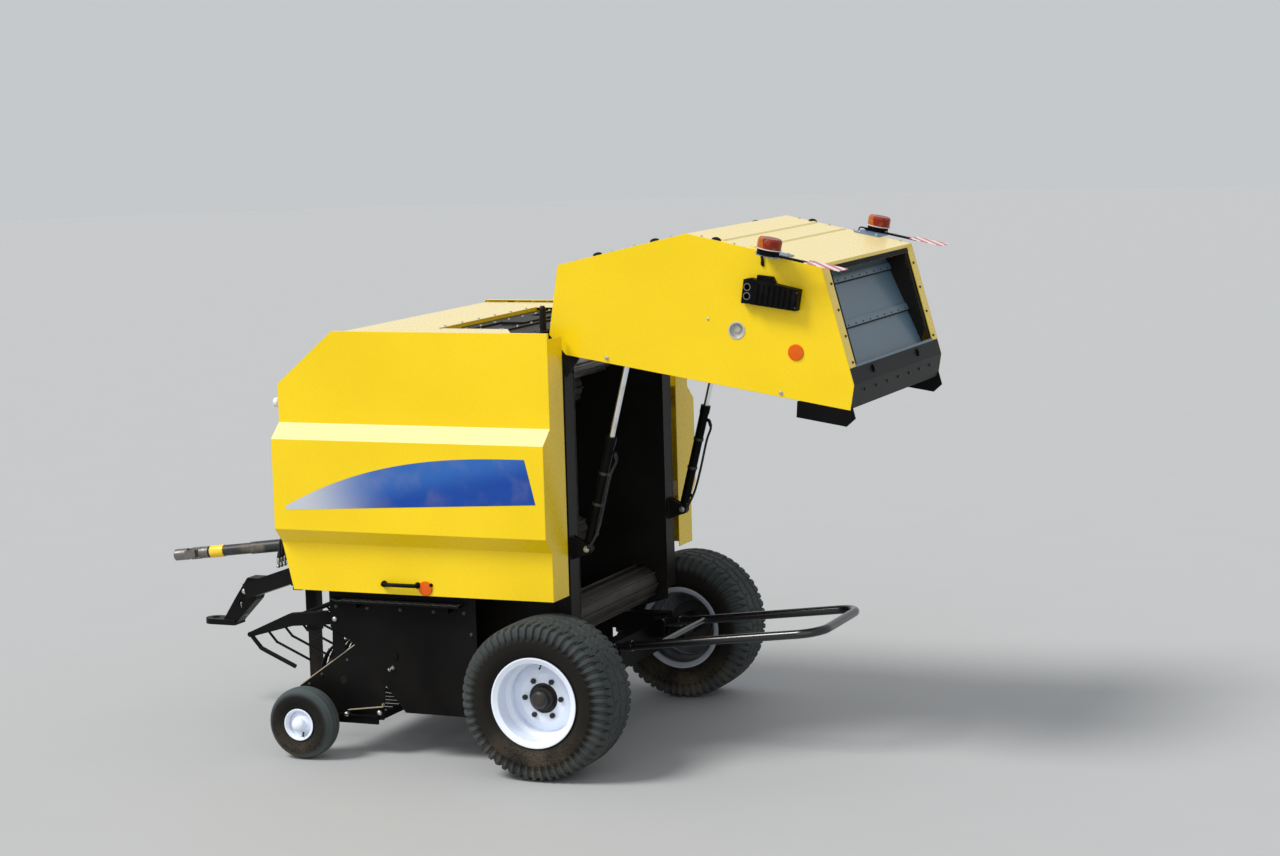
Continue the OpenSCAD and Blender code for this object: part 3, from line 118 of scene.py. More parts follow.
class Shader:
    """A material's node tree, with one method that makes every node."""

    def __init__(self, name: str) -> None:
        """Starts a material called name with its Principled shader."""
        self.material = bpy.data.materials.new(name)
        self.material.use_nodes = True
        self.tree = self.material.node_tree
        self.surface = self.tree.nodes["Principled BSDF"]

    def node(self, kind: str, settings: dict | None = None, inputs: dict | None = None) -> bpy.types.Node:
        """Adds a node.

        Args:
            kind: The node's type.
            settings: Its properties.
            inputs: Values or links for its sockets, by name or number.

        Returns:
            The node.
        """
        made = self.tree.nodes.new(kind)
        for key, value in (settings or {}).items():
            setattr(made, key, value)
        for key, value in (inputs or {}).items():
            self.feed(made.inputs[key], value)
        return made

    def feed(self, socket: bpy.types.NodeSocket, value: "Value | float | tuple") -> None:
        """Links a Value to socket, or sets a constant on it."""
        if isinstance(value, Value):
            self.tree.links.new(value.socket, socket)
        elif socket.type == "RGBA" and len(value) == 3:
            socket.default_value = (*value, 1.0)
        else:
            socket.default_value = value

    def out(self, made: bpy.types.Node, key: int | str = 0) -> Value:
        """One output of a node as a Value."""
        return Value(self, made.outputs[key])

    def math(self, operation: str, *values: "Value | float") -> Value:
        """A Math node's result."""
        return self.out(self.node("ShaderNodeMath", {"operation": operation}, dict(enumerate(values))))

    def mix(self, share: "Value | float", first: "Value | Colour", second: "Value | Colour") -> Value:
        """Colour that goes from first to second as share goes from 0 to 1."""
        made = self.node("ShaderNodeMix", {"data_type": "RGBA"}, {0: share, 6: first, 7: second})
        return self.out(made, 2)

    def place(self, stretch: tuple[float, float, float] = (1.0, 1.0, 1.0)) -> Value:
        """Object coordinates, each multiplied by its stretch."""
        where = self.out(self.node("ShaderNodeTexCoord"), "Object")
        return self.out(self.node("ShaderNodeMapping", None, {"Vector": where, "Scale": stretch}))

    def split(self, vector: Value) -> list[Value]:
        """The three parts of a vector."""
        made = self.node("ShaderNodeSeparateXYZ", None, {0: vector})
        return [self.out(made, k) for k in range(3)]

    def axes(self) -> list[Value]:
        """The three object coordinates in metres."""
        return self.split(self.place())

    def normal(self) -> Value:
        """The surface's own normal."""
        return self.out(self.node("ShaderNodeNewGeometry"), "Normal")

    def noise(self, scale: float, detail: float = 3.0, stretch: tuple = (1.0, 1.0, 1.0)) -> Value:
        """Fractal noise from 0 to 1 with scale features to a metre."""
        inputs = {"Vector": self.place(stretch), "Scale": scale, "Detail": detail}
        return self.out(self.node("ShaderNodeTexNoise", None, inputs), 0)

    def patches(self, scale: float, detail: float, low: float, high: float) -> Value:
        """Noise made into patches by a smooth step from low to high."""
        return self.noise(scale, detail).between(low, high)

    def eased(self, radius: float) -> Value:
        """Normal of the surface with its edges rounded by radius in metres."""
        return self.out(self.node("ShaderNodeBevel", {"samples": 4}, {"Radius": radius}))

    def edge(self, rounded: Value) -> Value:
        """Where the rounded normal leaves the true one: 0 on flats, 1 along edges."""
        dot = self.node("ShaderNodeVectorMath", {"operation": "DOT_PRODUCT"}, {0: self.normal(), 1: rounded})
        return self.out(dot, "Value").between(0.995, 0.86)

    def bump(self, height: Value, depth: float, normal: Value | None = None) -> Value:
        """Normal that height from 0 to 1 disturbs by depth metres."""
        inputs = {"Height": height, "Distance": depth, "Strength": 1.0} | ({"Normal": normal} if normal else {})
        return self.out(self.node("ShaderNodeBump", None, inputs))

    def finish(self, **sockets: "Value | float | tuple | None") -> bpy.types.Material:
        """Feeds the Principled shader, whose sockets are named with _ for a space; None leaves one alone."""
        for key, value in sockets.items():
            if value is not None:
                self.feed(self.surface.inputs[key.replace("_", " ")], value)
        return self.material


@dataclass(frozen=True)
class Finish:
    """A surface finish that is made into a material once, when it is first used."""

    name: str

    def shade(self, shader: Shader) -> bpy.types.Material:
        """Builds the node tree; each kind of finish has its own."""
        raise NotImplementedError

    def material(self) -> bpy.types.Material:
        """The finish's material."""
        return bpy.data.materials.get(self.name) or self.shade(Shader(self.name))


@dataclass(frozen=True)
class Paint(Finish):
    """Sprayed paint on sheet or section steel, with field dust and rubbed edges."""

    colour: Colour
    roughness: float = 0.3
    dust: float = 0.3
    wear: float = 0.5
    soil: Colour = (0.36, 0.27, 0.16)
    bare: Colour = (0.2, 0.19, 0.18)
    ease: float = 0.003
    coat: float = 0.25
    # film: share of painted top light on upward faces, partly chaff dust; top_light_tint: its colour
    film: float = 0.0
    top_light_tint: Colour = (0.9, 0.75, 0.36)
    specular: float = 0.5

    def shade(self, shader: Shader) -> bpy.types.Material:
        """Colour = paint, faded in broad patches, dusted from above and below, bare on edges.

        Faces that look up are also paled towards top_light_tint by film times a smooth step of the normal's z: painted
        top light, partly chaff dust.
        """
        broad, speck = shader.noise(1.4), shader.noise(60.0, 4.0)
        rounded = shader.eased(self.ease)
        rubbed = shader.edge(rounded) * speck.between(0.52, 0.62) * self.wear
        upward = shader.split(shader.normal())[2]
        low = shader.axes()[2].between(1.0, 0.2) * 0.7
        dust = (low + upward.between(0.3, 0.95) * 0.55 + 0.12) * shader.patches(5.0, 6.0, 0.35, 0.75) * self.dust
        faded = tuple(min(1.0, c * 1.06 + 0.004) for c in self.colour)
        colour = shader.mix(broad.between(0.35, 0.7), self.colour, faded)
        # Painted top light: upward faces paled towards top_light_tint, partly chaff dust
        if self.film:
            colour = shader.mix(upward.between(0.05, 0.7) * (broad * 0.2 + (self.film - 0.1)), colour, self.top_light_tint)
        colour = self.cover(shader, shader.mix(dust, colour, self.soil))
        colour = shader.mix(rubbed, colour, self.bare)
        rough = dust * 0.5 + speck * 0.06 + (self.roughness - 0.03)
        peel = shader.bump(shader.noise(220.0, 1.0), 0.00003, rounded)
        return shader.finish(Base_Color=colour, Roughness=rough, Metallic=rubbed * 0.6,
                             Normal=peel, Coat_Weight=self.coat, Coat_Roughness=0.15,
                             Specular_IOR_Level=self.specular)

    def cover(self, shader: Shader, colour: Value) -> Value:
        """The colour below the rubbed edges, unchanged here; the rim paint darkens it with painted shade."""
        return colour


@dataclass(frozen=True)
class ShadedRimPaint(Paint):
    """Rim paint whose side towards the machine is darkened up to its lip: painted shade of the rim's inner face."""

    # Colour of the painted shade on the side towards the machine
    painted_shade: Colour = (0.022, 0.02, 0.018)
    middle: float = 1.02
    lip: float = 0.16

    def cover(self, shader: Shader, colour: Value) -> Value:
        """Painted shade = the greater of smooth steps of the way inwards and of the inward normal, broken by noise."""
        y = shader.axes()[1]
        away = y.size() - self.middle
        inward = shader.split(shader.normal())[1] * y.sign()
        share = shader.math("MAXIMUM", away.between(0.0, -0.04), inward.between(-0.05, -0.4))
        # From the inner lip inwards the painted shade is halved, which leaves a paler arc: painted light on the lip
        share = share * (away.between(-self.lip - 0.01, 0.01 - self.lip) * 0.45 + 0.5)
        return shader.mix(share * (shader.noise(9.0, 5.0) * 0.4 + 0.75), colour, self.painted_shade)


@dataclass(frozen=True)
class WornSteel(Finish):
    """Bare steel that crop slides over: bright streaks along Y with brown rust between."""

    bright: Colour = (0.34, 0.33, 0.31)
    rust: Colour = (0.12, 0.065, 0.035)
    rusty: float = 0.5
    roughness: float = 0.38

    def shade(self, shader: Shader) -> bpy.types.Material:
        """Colour = streaks from bright to rust, with darker rust in patches."""
        streak = shader.noise(26.0, 5.0, (1.0, 0.06, 1.0))
        patch = shader.noise(7.0, 6.0)
        rounded = shader.eased(0.002)
        rust = (streak * 0.5 + patch * 0.5).between(0.42, 0.66) * self.rusty
        colour = shader.mix(rust, self.bright, self.rust)
        colour = shader.mix(shader.edge(rounded) * 0.5, colour, self.bright)
        bumps = shader.bump(streak + patch * 0.5, 0.0004, rounded)
        return shader.finish(Base_Color=colour, Roughness=rust * 0.35 + self.roughness,
                             Metallic=0.9 - rust * 0.7, Normal=bumps)


@dataclass(frozen=True)
class Chrome(Finish):
    """Hard chrome on a ram, with a film of oil and fine dust."""

    def shade(self, shader: Shader) -> bpy.types.Material:
        """Bright metal whose roughness grows where dust has stuck."""
        film = shader.patches(18.0, 5.0, 0.45, 0.75)
        colour = shader.mix(film * 0.5, (0.78, 0.79, 0.82), (0.45, 0.4, 0.33))
        return shader.finish(Base_Color=colour, Metallic=1.0, Roughness=film * 0.3 + 0.12)


@dataclass(frozen=True)
class Rubber(Finish):
    """Tyre and buffer rubber, greyed by age and browned where soil has stuck."""

    colour: Colour = (0.013, 0.014, 0.0135)
    grey: Colour = (0.04, 0.044, 0.043)
    soil: Colour = (0.2, 0.155, 0.1)
    soiled: float = 0.4

    def age(self, shader: Shader, broad: Value) -> Value:
        """Share of grey: a smooth step of the broad noise."""
        return broad.between(0.3, 0.75)

    def shade(self, shader: Shader) -> bpy.types.Material:
        """Colour = black to grey by age(), soil by height above the ground."""
        broad, fine = shader.noise(6.0, 4.0), shader.noise(140.0, 5.0)
        soil = shader.axes()[2].between(0.35, 0.0) * (broad + fine).between(0.8, 1.25) * self.soiled
        colour = shader.mix(self.age(shader, broad), self.colour, self.grey)
        colour = shader.mix(soil, colour, self.soil)
        return shader.finish(Base_Color=colour, Roughness=fine * 0.25 + 0.55,
                             Normal=shader.bump(fine, 0.0007), Specular_IOR_Level=0.12)


@dataclass(frozen=True)
class TyreRubber(Rubber):
    """Rubber that is brown and dark by the rim and greyer from the shoulder out."""

    hub: tuple[float, float] = (0.0, 0.42)
    inner: float = 0.33
    outer: float = 0.37

    def age(self, shader: Shader, broad: Value) -> Value:
        """Share of grey: a smooth step of the distance from the axle, in metres, thinned by noise."""
        x, _, z = shader.axes()
        dx, dz = x - (self.hub[0] + AXLE_X / 1000), z - self.hub[1]
        return (dx * dx + dz * dz).root().between(self.inner, self.outer) * (broad * 0.6 + 0.55)


@dataclass(frozen=True)
class Moulding(Finish):
    """A moulded, cast or printed surface with a fine grain and dust in patches.

    patch holds the dust's noise scale, detail, low and high; grain the relief's noise scale,
    detail, depth and rounding of edges in metres.
    """

    colour: Colour = (0.5, 0.5, 0.5)
    roughness: float = 0.5
    dust: float = 0.3
    specular: float = 0.5
    dirt: Colour = (0.3, 0.24, 0.16)
    patch: tuple[float, ...] = (9.0, 5.0, 0.45, 0.8)
    dull: float = 0.4
    coat: float = 0.0
    grain: tuple[float, ...] = (300.0, 2.0, 0.0002, 0.0015)

    def tint(self, shader: Shader) -> Value | Colour:
        """The clean colour, which some finishes vary."""
        return self.colour

    def relief(self, shader: Shader) -> Value | None:
        """Normal disturbed by the grain, or none."""
        if not self.grain:
            return None
        scale, detail, depth, ease = self.grain
        return shader.bump(shader.noise(scale, detail), depth, shader.eased(ease))

    def shade(self, shader: Shader) -> bpy.types.Material:
        """Colour = tint() to dirt by the dust, which also dulls the gloss."""
        dust = shader.patches(*self.patch) * self.dust
        colour = shader.mix(dust, self.tint(shader), self.dirt)
        return shader.finish(Base_Color=colour, Roughness=dust * self.dull + self.roughness,
                             Normal=self.relief(shader), Specular_IOR_Level=self.specular,
                             Coat_Weight=self.coat, Coat_Roughness=0.05 if self.coat else None)


@dataclass(frozen=True)
class Lens(Moulding):
    """Ribbed lamp or reflector plastic, which may have a second colour behind x = split, in metres."""

    roughness: float = 0.14
    dust: float = 0.35
    specular: float = 0.15
    dirt: Colour = (0.4, 0.33, 0.22)
    patch: tuple[float, ...] = (30.0, 4.0, 0.5, 0.8)
    dull: float = 0.5
    coat: float = 0.06
    rib_pitch: float = 0.006
    second: Colour | None = None
    split: float = 0.0

    def tint(self, shader: Shader) -> Value | Colour:
        """Colour = first to second over 4 mm about the split."""
        if self.second is None:
            return self.colour
        return shader.mix(shader.axes()[0].between(self.split - 0.002, self.split + 0.002), self.colour, self.second)

    def relief(self, shader: Shader) -> Value:
        """Bump = crossed sine ribs of rib_pitch metres."""
        x, y, z = shader.axes()
        turn = 2 * math.pi / self.rib_pitch
        return shader.bump(((x + y) * turn).sine() * 0.5 + (z * turn).sine() * 0.5, 0.0006)


@dataclass(frozen=True)
class SweepDecal(Moulding):
    """Plain printed band that fades from white at its front tip to blue at its rear end."""

    white: Colour = (0.5, 0.53, 0.58)
    blue: Colour = (0.006, 0.055, 0.31)
    start: float = -1.42
    end: float = -0.82

    def tint(self, shader: Shader) -> Value:
        """Colour = white to blue by x, with a lighter edge where a second sweep crosses."""
        x, _, z = shader.axes()
        x = x - AXLE_X / 1000
        along = x.between(self.start, self.end)
        arc = (z - 1.46 - (x + 0.6) * 0.2).between(-0.01, 0.14)
        return shader.mix(arc * along * 0.5, shader.mix(along, self.white, self.blue), (0.05, 0.19, 0.52))


@dataclass(frozen=True)
class Hatching(Moulding):
    """Red and white diagonal bands of a width marker."""

    pitch: float = 0.09
    slope: float = 1.0

    def tint(self, shader: Shader) -> Value:
        """Red where the fraction of (x + slope y) / pitch is over a half, else white."""
        x, y, _ = shader.axes()
        band = ((x + y * self.slope) / self.pitch + 40.0).fraction().between(0.48, 0.52)
        return shader.mix(band, (0.8, 0.74, 0.74), (0.6, 0.1, 0.13))


@dataclass(frozen=True)
class Floor(Finish):
    """Plain pale studio floor that shows white in reflections."""

    colour: Colour = (0.43, 0.437, 0.445)

    def shade(self, shader: Shader) -> bpy.types.Material:
        """Even pale colour with a trace of mottle."""
        mottle = shader.noise(2.0, 2.0)
        colour = shader.mix(mottle, self.colour, tuple(c * 0.97 for c in self.colour))
        return shader.finish(Base_Color=colour, Roughness=0.7)


# YELLOW's film paints top light on its upward faces, partly chaff dust
YELLOW = Paint("yellow_paint_gloss", (0.84, 0.585, 0.002), roughness=0.27, dust=0.06, wear=0.1,
               soil=(0.66, 0.5, 0.2), coat=0.12, film=0.92, specular=0.28)
BLACK = Paint("black_paint_gloss", (0.003, 0.003, 0.0031), roughness=0.36, dust=0.04, wear=0.2,
              soil=(0.14, 0.105, 0.065), coat=0.0, specular=0.06)
TUBE_BLACK = Paint("tube_black_gloss", (0.004, 0.0045, 0.006), roughness=0.22, dust=0.03, wear=0.2,
                   soil=(0.14, 0.105, 0.065), coat=0.5, specular=0.4)
DARK = Paint("charcoal_paint", (0.0075, 0.007, 0.0065), roughness=0.42, dust=0.16, soil=(0.17, 0.13, 0.08),
             coat=0.0, specular=0.1)
WHITE = Paint("white_rim_paint", (0.77, 0.83, 0.94), roughness=0.28, dust=0.14, wear=0.1)
# Rim white with painted shade on its side towards the machine
SHADED_RIM_WHITE = ShadedRimPaint("shaded_rim_paint", (0.77, 0.83, 0.94), roughness=0.28, dust=0.14, wear=0.1)
GREY_BLUE = Paint("blue_grey_plate", (0.07, 0.13, 0.18), roughness=0.42, dust=0.1, wear=0.6)
EDGE_STEEL = Paint("rubbed_edge_steel", (0.34, 0.3, 0.22), roughness=0.4, dust=0.6, wear=1.0, coat=0.0)
# A darker copy of the crop steel: painted shade on roller 7 and the pickup bands, which lie in shade
SHADED_STEEL = WornSteel("shade_darkened_crop_steel", (0.07, 0.065, 0.058), (0.05, 0.035, 0.022), 0.6, 0.5)
BRACKET_BLUE = Paint("blue_bracket_paint", (0.1, 0.18, 0.33), roughness=0.35, dust=0.3)
YELLOW_BAND = Paint("yellow_guard_band", (0.86, 0.55, 0.01), roughness=0.45, dust=0.3)
CROP_STEEL = WornSteel("crop_polished_steel")
CHAIN_STEEL = WornSteel("oiled_chain_steel", (0.1, 0.095, 0.09), (0.05, 0.035, 0.02), 0.6, 0.45)
ZINC = WornSteel("zinc_plated_steel", (0.52, 0.52, 0.5), (0.3, 0.27, 0.22), 0.35, 0.34)
SHAFT_STEEL = WornSteel("greased_shaft_steel", (0.22, 0.21, 0.2), (0.06, 0.04, 0.025), 0.5, 0.35)
BLACK_BOLT = WornSteel("blackened_bolt_steel", (0.06, 0.06, 0.06), (0.05, 0.035, 0.025), 0.4, 0.4)
DARK_RIVET = WornSteel("dark_rivet_steel", (0.03, 0.035, 0.04), (0.04, 0.03, 0.02), 0.4, 0.5)
SPRING_STEEL = WornSteel("spring_steel", (0.12, 0.115, 0.11), (0.07, 0.04, 0.02), 0.5, 0.4)
WORN_STEP = WornSteel("step_tread_steel", (0.16, 0.155, 0.15), (0.05, 0.04, 0.03), 0.5, 0.45)
SILVER = Paint("silver_dish_paint", (0.45, 0.44, 0.4), roughness=0.32, dust=0.35, coat=0.2)
CHROME = Chrome("hard_chrome")
TYRE = TyreRubber("main_tyre_rubber", (0.012, 0.0105, 0.0085), (0.055, 0.064, 0.064))
GAUGE_TYRE = TyreRubber("gauge_tyre_rubber", (0.009, 0.009, 0.0085), (0.085, 0.105, 0.108), soiled=0.2,
                        hub=(-1.44, 0.195), inner=0.15, outer=0.19)
BUFFER = Rubber("buffer_rubber", (0.006, 0.006, 0.006), (0.016, 0.016, 0.016), soiled=0.1)
HOSE = Rubber("hose_rubber", (0.02, 0.02, 0.021), (0.05, 0.05, 0.05), soiled=0.15)
BLACK_PLASTIC = Moulding("black_moulded_plastic", (0.003, 0.003, 0.0032), 0.5, 0.04, 0.06)
DUSTY_PLASTIC = Moulding("dusty_grey_plastic", (0.12, 0.12, 0.11), 0.6, 0.6)
WHITE_PLASTIC = Moulding("white_lamp_plastic", (0.62, 0.6, 0.57), 0.4, 0.3)
GUARD_PLASTIC = Moulding("shaft_guard_plastic", (0.018, 0.018, 0.02), 0.4, 0.5)
HUB_IRON = Moulding("hub_cast_iron", (0.01, 0.01, 0.011), 0.42, 0.3, dirt=(0.09, 0.065, 0.04), dull=0.3,
                    patch=(12.0, 5.0, 0.4, 0.75), grain=(90.0, 4.0, 0.0008, 0.002))
ORANGE = Lens("orange_reflector", (0.72, 0.11, 0.002))
CLEAR_LENS = Lens("clear_lamp_lens", (0.75, 0.76, 0.76))
LAMP_X = 1245.0
LAMP_LENS = Lens("amber_and_red_lens", (0.42, 0.1, 0.012), second=(0.25, 0.02, 0.006),
                 split=(LAMP_X - 14 + AXLE_X) / 1000)
DECAL = SweepDecal("sweep_decal", roughness=0.28, dust=0.12, specular=0.25, dirt=(0.42, 0.33, 0.2),
                   patch=(8.0, 5.0, 0.45, 0.8), dull=1.0, grain=())
MARKER = Hatching("marker_hatching", roughness=0.3, dirt=(0.45, 0.36, 0.25), patch=(9.0, 5.0, 0.4, 0.8),
                  dull=1.0, grain=())
FLOOR = Floor("studio_floor")

GATE_OPEN = 80.5
HINGE = (66.0, 0.0, 2200.0)
CHAMBER = (50.0, 1440.0)
CYLINDER_Y = 680.0
GATE_OUTLINE = [(53, 631), (183, 631), (755, 892), (790, 1632), (510, 2320), (140, 2318), (52, 2210)]

NODE_FINISH: dict[str, Finish] = {
    "main_frame": BLACK, "wall_left": DARK, "wall_right": DARK, "drawbar": BLACK, "hood": YELLOW,
    "top_deck": DARK, "gearbox": DARK, "skirts": BLACK, "feed_floor": CROP_STEEL,
    "drive_chain": CHAIN_STEEL, "front_lamps": CLEAR_LENS, "shield_left": YELLOW, "shield_right": YELLOW,
    "gate_shell": YELLOW, "gate_walls": DARK, "gate_elevator": CROP_STEEL, "gate_plates": GREY_BLUE,
    "gate_beam": BLACK, "gate_lamps": BRACKET_BLUE, "lamp_lenses": LAMP_LENS, "marker_plates": MARKER,
    "wheel_chocks": BLACK_PLASTIC,
    "barrel_left": BLACK, "barrel_right": BLACK, "rod_left": CHROME, "rod_right": CHROME,
    "rim_left": SHADED_RIM_WHITE, "rim_right": SHADED_RIM_WHITE, "hub_left": HUB_IRON, "hub_right": HUB_IRON,
    "kicker": TUBE_BLACK, "pickup_frame": BLACK, "pickup_bands": SHADED_STEEL, "pickup_reel": DARK,
    "windguard": BLACK, "gauge_rim_left": WHITE, "gauge_rim_right": WHITE, "feed_rotor": CROP_STEEL,
    "jack_leg": DARK, "pto_guard": GUARD_PLASTIC, "pto_shaft": SHAFT_STEEL,
    "tyre_left": TYRE, "tyre_right": TYRE, "gauge_tyre_left": GAUGE_TYRE, "gauge_tyre_right": GAUGE_TYRE,
}
NODE_FINISH.update({f"roller_{i}": CROP_STEEL for i in range(1, 7)}, roller_7=SHADED_STEEL)


@dataclass
class Shape:
    """Points in millimetres of the axle's frame and faces, as one array for each corner count."""

    points: np.ndarray
    faces: list[np.ndarray]

    def volume(self) -> float:
        """Signed volume: a sixth of the sum of a . (b x c) over fans of each face."""
        corners = [(self.points[block], k) for block in self.faces for k in range(1, block.shape[1] - 1)]
        return sum(np.einsum("ij,ij->", p[:, 0], np.cross(p[:, k], p[:, k + 1])) for p, k in corners) / 6

    def flipped(self) -> "Shape":
        """The same points with every face turned over."""
        return Shape(self.points, [block[:, ::-1] for block in self.faces])

    def outward(self) -> "Shape":
        """The same shape with its faces turned to point out of it."""
        return self if self.volume() >= 0 else self.flipped()

    def __add__(self, other: "Shape") -> "Shape":
        """Both shapes as one."""
        faces = self.faces + [block + len(self.points) for block in other.faces]
        return Shape(np.vstack([self.points, other.points]), faces)

    def moved(self, x: float = 0.0, y: float = 0.0, z: float = 0.0) -> "Shape":
        """The shape shifted by (x, y, z)."""
        return Shape(self.points + (x, y, z), self.faces)

    def turned(self, degrees: float, axis: Axis, about: tuple = (0.0, 0.0, 0.0)) -> "Shape":
        """The shape turned by degrees about axis through about, by the right-hand rule."""
        turn = rotation(np.array(axis.value), math.radians(degrees))
        return Shape((self.points - np.array(about)) @ turn.T + np.array(about), self.faces)

    def on(self, side: Side) -> "Shape":
        """A right-hand shape put on its side: y changes sign on the left."""
        return self if side is Side.RIGHT else Shape(self.points * (1, -1, 1), self.faces).flipped()

    def pair(self) -> "Shape":
        """A right-hand shape and its mirror image on the left."""
        return self + self.on(Side.LEFT)

    def framed(self, places: np.ndarray, frames: np.ndarray) -> "Shape":
        """The shape at every place, turned by that place's matrix.

        Args:
            places: (n, 3) places in millimetres.
            frames: (n, 3, 3) turns.

        Returns:
            One shape of n copies.
        """
        points = (np.einsum("nij,kj->nki", frames, self.points) + places[:, None, :]).reshape(-1, 3)
        shift = np.arange(len(places))[:, None, None] * len(self.points)
        return Shape(points, [(block[None] + shift).reshape(-1, block.shape[1]) for block in self.faces])

    def at(self, x: Row, y: Row, z: Row, axis: tuple) -> "Shape":
        """The shape at every place that x, y and z give, its z axis turned to axis."""
        spots = places(x, y, z)
        return self.framed(spots, upright_frames(np.broadcast_to(np.asarray(axis, float), spots.shape)))

    def build(self, name: str, finish: Finish, body: str, slot: str, sharp: float = 35.0,
              bevel: float = 0.0, stands_for: tuple[str, ...] = ()) -> None:
        """Makes the object in metres of the shared frame, dressed and riding on its body.

        Args:
            name: The piece's name.
            finish: Its finish.
            body: The CAD body that it rides on.
            slot: The record's material slot; not used.
            sharp: Edges over this many degrees stay sharp.
            bevel: Width in millimetres of a bevel on sharp edges, or 0.
            stands_for: CAD nodes that it replaces.
        """
        mesh = bpy.data.meshes.new(name)
        faces = [row for block in self.faces for row in block.tolist()]
        mesh.from_pydata(shared(self.points).tolist(), [], faces)
        mesh.polygons.foreach_set("use_smooth", np.ones(len(faces), bool))
        mesh.set_sharp_from_angle(angle=math.radians(sharp))
        mesh.materials.append(finish.material())
        made = add_object(name, mesh)
        if bevel:
            edge = made.modifiers.new("eased edges", "BEVEL")
            edge.width, edge.segments, edge.harden_normals = bevel / 1000, 2, True
            edge.limit_method, edge.angle_limit = "ANGLE", math.radians(sharp)
        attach(made, body)
        if stands_for:
            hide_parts(*stands_for)
        LOG.info("%s: %d faces on %s", name, len(faces), body)

    def build_sides(self, name: str, finish: Finish, body: str, slot: str) -> None:
        """Makes a right-hand shape on both sides, each riding on that side's body."""
        for side in Side:
            self.on(side).build(f"{name}_{side.word}", finish, f"{body}_{side.word}", slot)


def shared(points: np.ndarray | tuple) -> np.ndarray:
    """Points of the axle's frame, in millimetres, as metres of the shared frame."""
    return (np.asarray(points, float) + (AXLE_X, 0, 0)) / 1000


def add_object(name: str, data: bpy.types.ID, axes: np.ndarray | None = None, place: tuple = ()) -> bpy.types.Object:
    """Links a new object to the scene.

    Args:
        name: Its name.
        data: Its mesh, camera or light.
        axes: (3, 3) matrix whose columns are its axes; the scene's own if left out.
        place: Its place in metres, if axes are given.

    Returns:
        The object.
    """
    made = bpy.data.objects.new(name, data)
    if axes is not None:
        matrix = np.eye(4)
        matrix[:3, :3], matrix[:3, 3] = axes, place
        made.matrix_world = matrix.T.tolist()
    bpy.context.collection.objects.link(made)
    return made


def rotation(axis: np.ndarray, angle: float) -> np.ndarray:
    """Matrix of a turn by angle radians about the unit vector axis: I + sin K + (1 - cos) K K."""
    x, y, z = axis
    k = np.array([[0, -z, y], [z, 0, -x], [-y, x, 0]])
    return np.eye(3) + math.sin(angle) * k + (1 - math.cos(angle)) * (k @ k)


def upright_frames(axes: np.ndarray) -> np.ndarray:
    """(n, 3, 3) matrices that carry +Z to each of the n axes, with x across the nearest vertical."""
    z = axes / np.linalg.norm(axes, axis=1, keepdims=True)
    helper = np.where(np.abs(z[:, 2:3]) < 0.9, np.array([[0.0, 0.0, 1.0]]), np.array([[1.0, 0.0, 0.0]]))
    x = np.cross(helper, z)
    x /= np.linalg.norm(x, axis=1, keepdims=True)
    return np.stack([x, np.cross(z, x), z], axis=2)


def flat_frames(along: np.ndarray, up: np.ndarray) -> np.ndarray:
    """(n, 3, 3) matrices with the columns along, up x along and up."""
    return np.stack([along, np.cross(up, along), up], 2)


def grid(points: np.ndarray, ring_rows: bool = False) -> Shape:
    """A closed surface over a grid of points whose last column joins the first.

    Args:
        points: (rows, columns, 3) places.
        ring_rows: The last row joins the first too; if not, a face closes each end.

    Returns:
        The surface, facing outwards.
    """
    rows, cols = points.shape[:2]
    index = np.arange(rows * cols).reshape(rows, cols)
    ends = [] if ring_rows else [index[:1, ::-1], index[-1:]]
    if ring_rows:
        index = np.vstack([index, index[:1]])
    index = np.hstack([index, index[:, :1]])
    quads = np.stack([index[:-1, :-1], index[:-1, 1:], index[1:, 1:], index[1:, :-1]], axis=-1).reshape(-1, 4)
    return Shape(points.reshape(-1, 3), [quads, *ends]).outward()


def turns(count: int) -> np.ndarray:
    """Angles in radians, evenly round a circle."""
    return np.linspace(0, 2 * math.pi, count, endpoint=False)


def arc(t: np.ndarray, radius: float | np.ndarray, other: float | None = None) -> np.ndarray:
    """(n, 2) points (radius cos t, other sin t), where other is the radius if left out."""
    return np.stack([radius * np.cos(t), (radius if other is None else other) * np.sin(t)], -1)


def circle(radius: float, steps: int = 12) -> np.ndarray:
    """(steps, 2) points of a circle about the origin."""
    return arc(turns(steps), radius)


def spread(low: float, high: float, count: int) -> np.ndarray:
    """Evenly spaced numbers from low to high."""
    return np.linspace(low, high, count)


def places(x: Row, y: Row, z: Row) -> np.ndarray:
    """(n, 3) places from three numbers, lists or arrays that stretch to the longest."""
    return np.stack(np.broadcast_arrays(x, y, z), -1).reshape(-1, 3).astype(float)


def revolve(profile: list | np.ndarray, steps: int = 32, ring: bool = False) -> Shape:
    """Turns a profile of (radius, height) about +Z: points (r cos t, r sin t, h) for steps values of t.

    Args:
        profile: (k, 2) radii and heights, with no radius of 0.
        steps: Points round the circle.
        ring: The profile is a closed loop, as in a tyre.
    """
    r, h = (column[:, None] for column in np.asarray(profile, float).T)
    t = turns(steps)[None, :]
    return grid(np.stack(np.broadcast_arrays(r * np.cos(t), r * np.sin(t), h), -1), ring_rows=ring)


